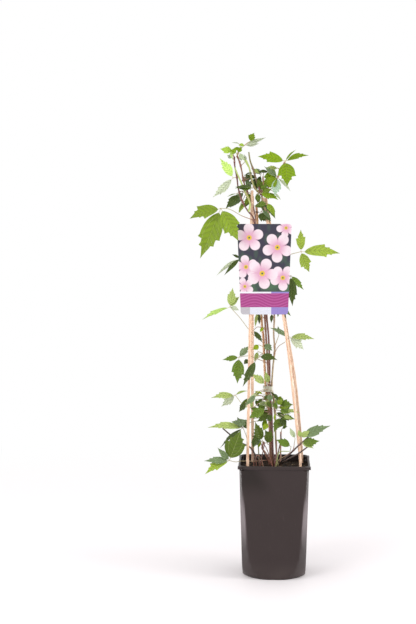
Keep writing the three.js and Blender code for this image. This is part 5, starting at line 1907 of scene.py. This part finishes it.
@dataclass
class Studio:
    """A pale floor, soft light, a white background and the camera. Sizes in metres."""

    lamps: tuple[Lamp, ...] = (
        Lamp("key_light", (-1.6, -1.8, 1.9), 1.2, 22),
        Lamp("side_light", (1.9, -0.7, 1.2), 1.0, 16),
        Lamp("left_window", (-1.2, -0.06, 0.12), 0.6, 36, (0, 0, 0.1), glossy_only=True),
        Lamp("right_window", (1.2, -0.06, 0.12), 0.6, 36, (0, 0, 0.1), glossy_only=True),
    )
    eye: Point = (-0.1245, -2.5, 0.6678)
    pitch: float = 4.016
    lens: float = 77.54
    floor_half: float = 9.0

    def floor(self) -> None:
        """The floor: a thin slab that fades into the white background."""
        select_none()
        bpy.ops.mesh.primitive_plane_add(size=2 * self.floor_half)
        slab = bpy.context.object
        slab.name = "studio_floor"
        recipe = Recipe("studio_floor", {"Specular IOR Level": 0.2})
        place = recipe.place()
        x, y, _ = recipe.parts(place)
        cloud = recipe.noise(place, 1.4, 2)
        colour = recipe.mix(cloud, linear(240, 234, 236), linear(246, 242, 243))
        recipe.finish(colour, 0.6)
        out = (x * x + y * y) ** 0.5
        glow = recipe.node("ShaderNodeEmission", {}, {"Color": (1.0, 1.0, 1.0, 1.0), "Strength": 1.0})
        fade = recipe.node("ShaderNodeMixShader", {}, {0: out.step(0.45, 1.5)})
        end = recipe.tree.nodes["Material Output"]
        recipe.tree.links.new(recipe.shader.outputs[0], fade.inputs[1])
        recipe.tree.links.new(glow.outputs[0], fade.inputs[2])
        recipe.tree.links.new(fade.outputs[0], end.inputs["Surface"])
        slab.data.materials.append(recipe.material)

    def build(self) -> None:
        """Sets up the studio."""
        self.floor()
        world = bpy.data.worlds.new("white_room")
        world.use_nodes = True
        sky = world.node_tree.nodes["Background"]
        sky.inputs["Color"].default_value = (1, 1, 1, 1)
        sky.inputs["Strength"].default_value = 1.0
        bpy.context.scene.world = world
        for lamp in self.lamps:
            lamp.build()
        bpy.context.scene.view_settings.view_transform = "Standard"
        camera_data = bpy.data.cameras.new("camera")
        camera_data.lens = self.lens
        camera_data.sensor_width = 36
        camera_data.sensor_fit = "AUTO"
        camera_data.clip_end = 60
        camera = bpy.data.objects.new("camera", camera_data)
        camera.location = self.eye
        camera.rotation_euler = (math.radians(90 - self.pitch), 0, 0)
        bpy.context.collection.objects.link(camera)
        bpy.context.scene.camera = camera


CANES = (
    SplitCane(
        "cane_front_left",
        [
            (-50, -44.5, 120), (-51.4, -46, 211), (-46.8, front_cane_y(466), 466),
            (-43, front_cane_y(718), 718),
        ],
        0.9,
        seed=1,
    ),
    SplitCane(
        "cane_front_right",
        [
            (46.5, -44.5, 120), (46, -46, 211), (34, front_cane_y(332), 332), (26, front_cane_y(402), 402),
            (14, front_cane_y(488), 488), (-22.5, front_cane_y(705), 705),
        ],
        2.4,
        seed=2,
    ),
    SplitCane(
        "cane_back_left",
        [(-38.3, 48, 120), (-38.8, 48, 205), (-40.3, 34, 351), (-41.5, 14, 708)],
        -1.2,
        seed=3,
    ),
    SplitCane(
        "cane_back_right",
        [(49, 43, 120), (55, 45.5, 205), (45, 38, 322), (35, 32, 395), (24, 26, 456), (-17, 10, 704)],
        -1.8,
        seed=4,
    ),
)
BAMBOO = [
    (-2, 46, 120), (-5, 44, 211), (-9, 22, 295), (-16, 5, 349), (-19, 4, 398), (-21, 5, 445),
    (-25, 5, 486), (-33, 2, 660), (-35, 1, 690),
]


def main() -> None:
    """Builds the plant, its pot, its supports and the studio."""
    logging.basicConfig(level=logging.INFO, format="%(name)s %(message)s")
    Studio().build()
    pot = Pot()
    pot.build()
    SoilBed(pot).build()
    wood = SplitWood().material()
    for cane in CANES:
        cane.build(wood)
    BambooCane(BAMBOO).build()
    TieTape().build()
    WireRing().build()
    CareLabel().build()
    pattern = LeafPattern()
    bark = YoungBark().material()
    blade = LeafBlade().material()
    dice = random.Random(5)
    for shoot in SHOOTS:
        LeafyShoot(shoot, pattern, bark, blade, dice=dice).build()
    pattern.put_away()


if __name__ == "__main__":
    main()
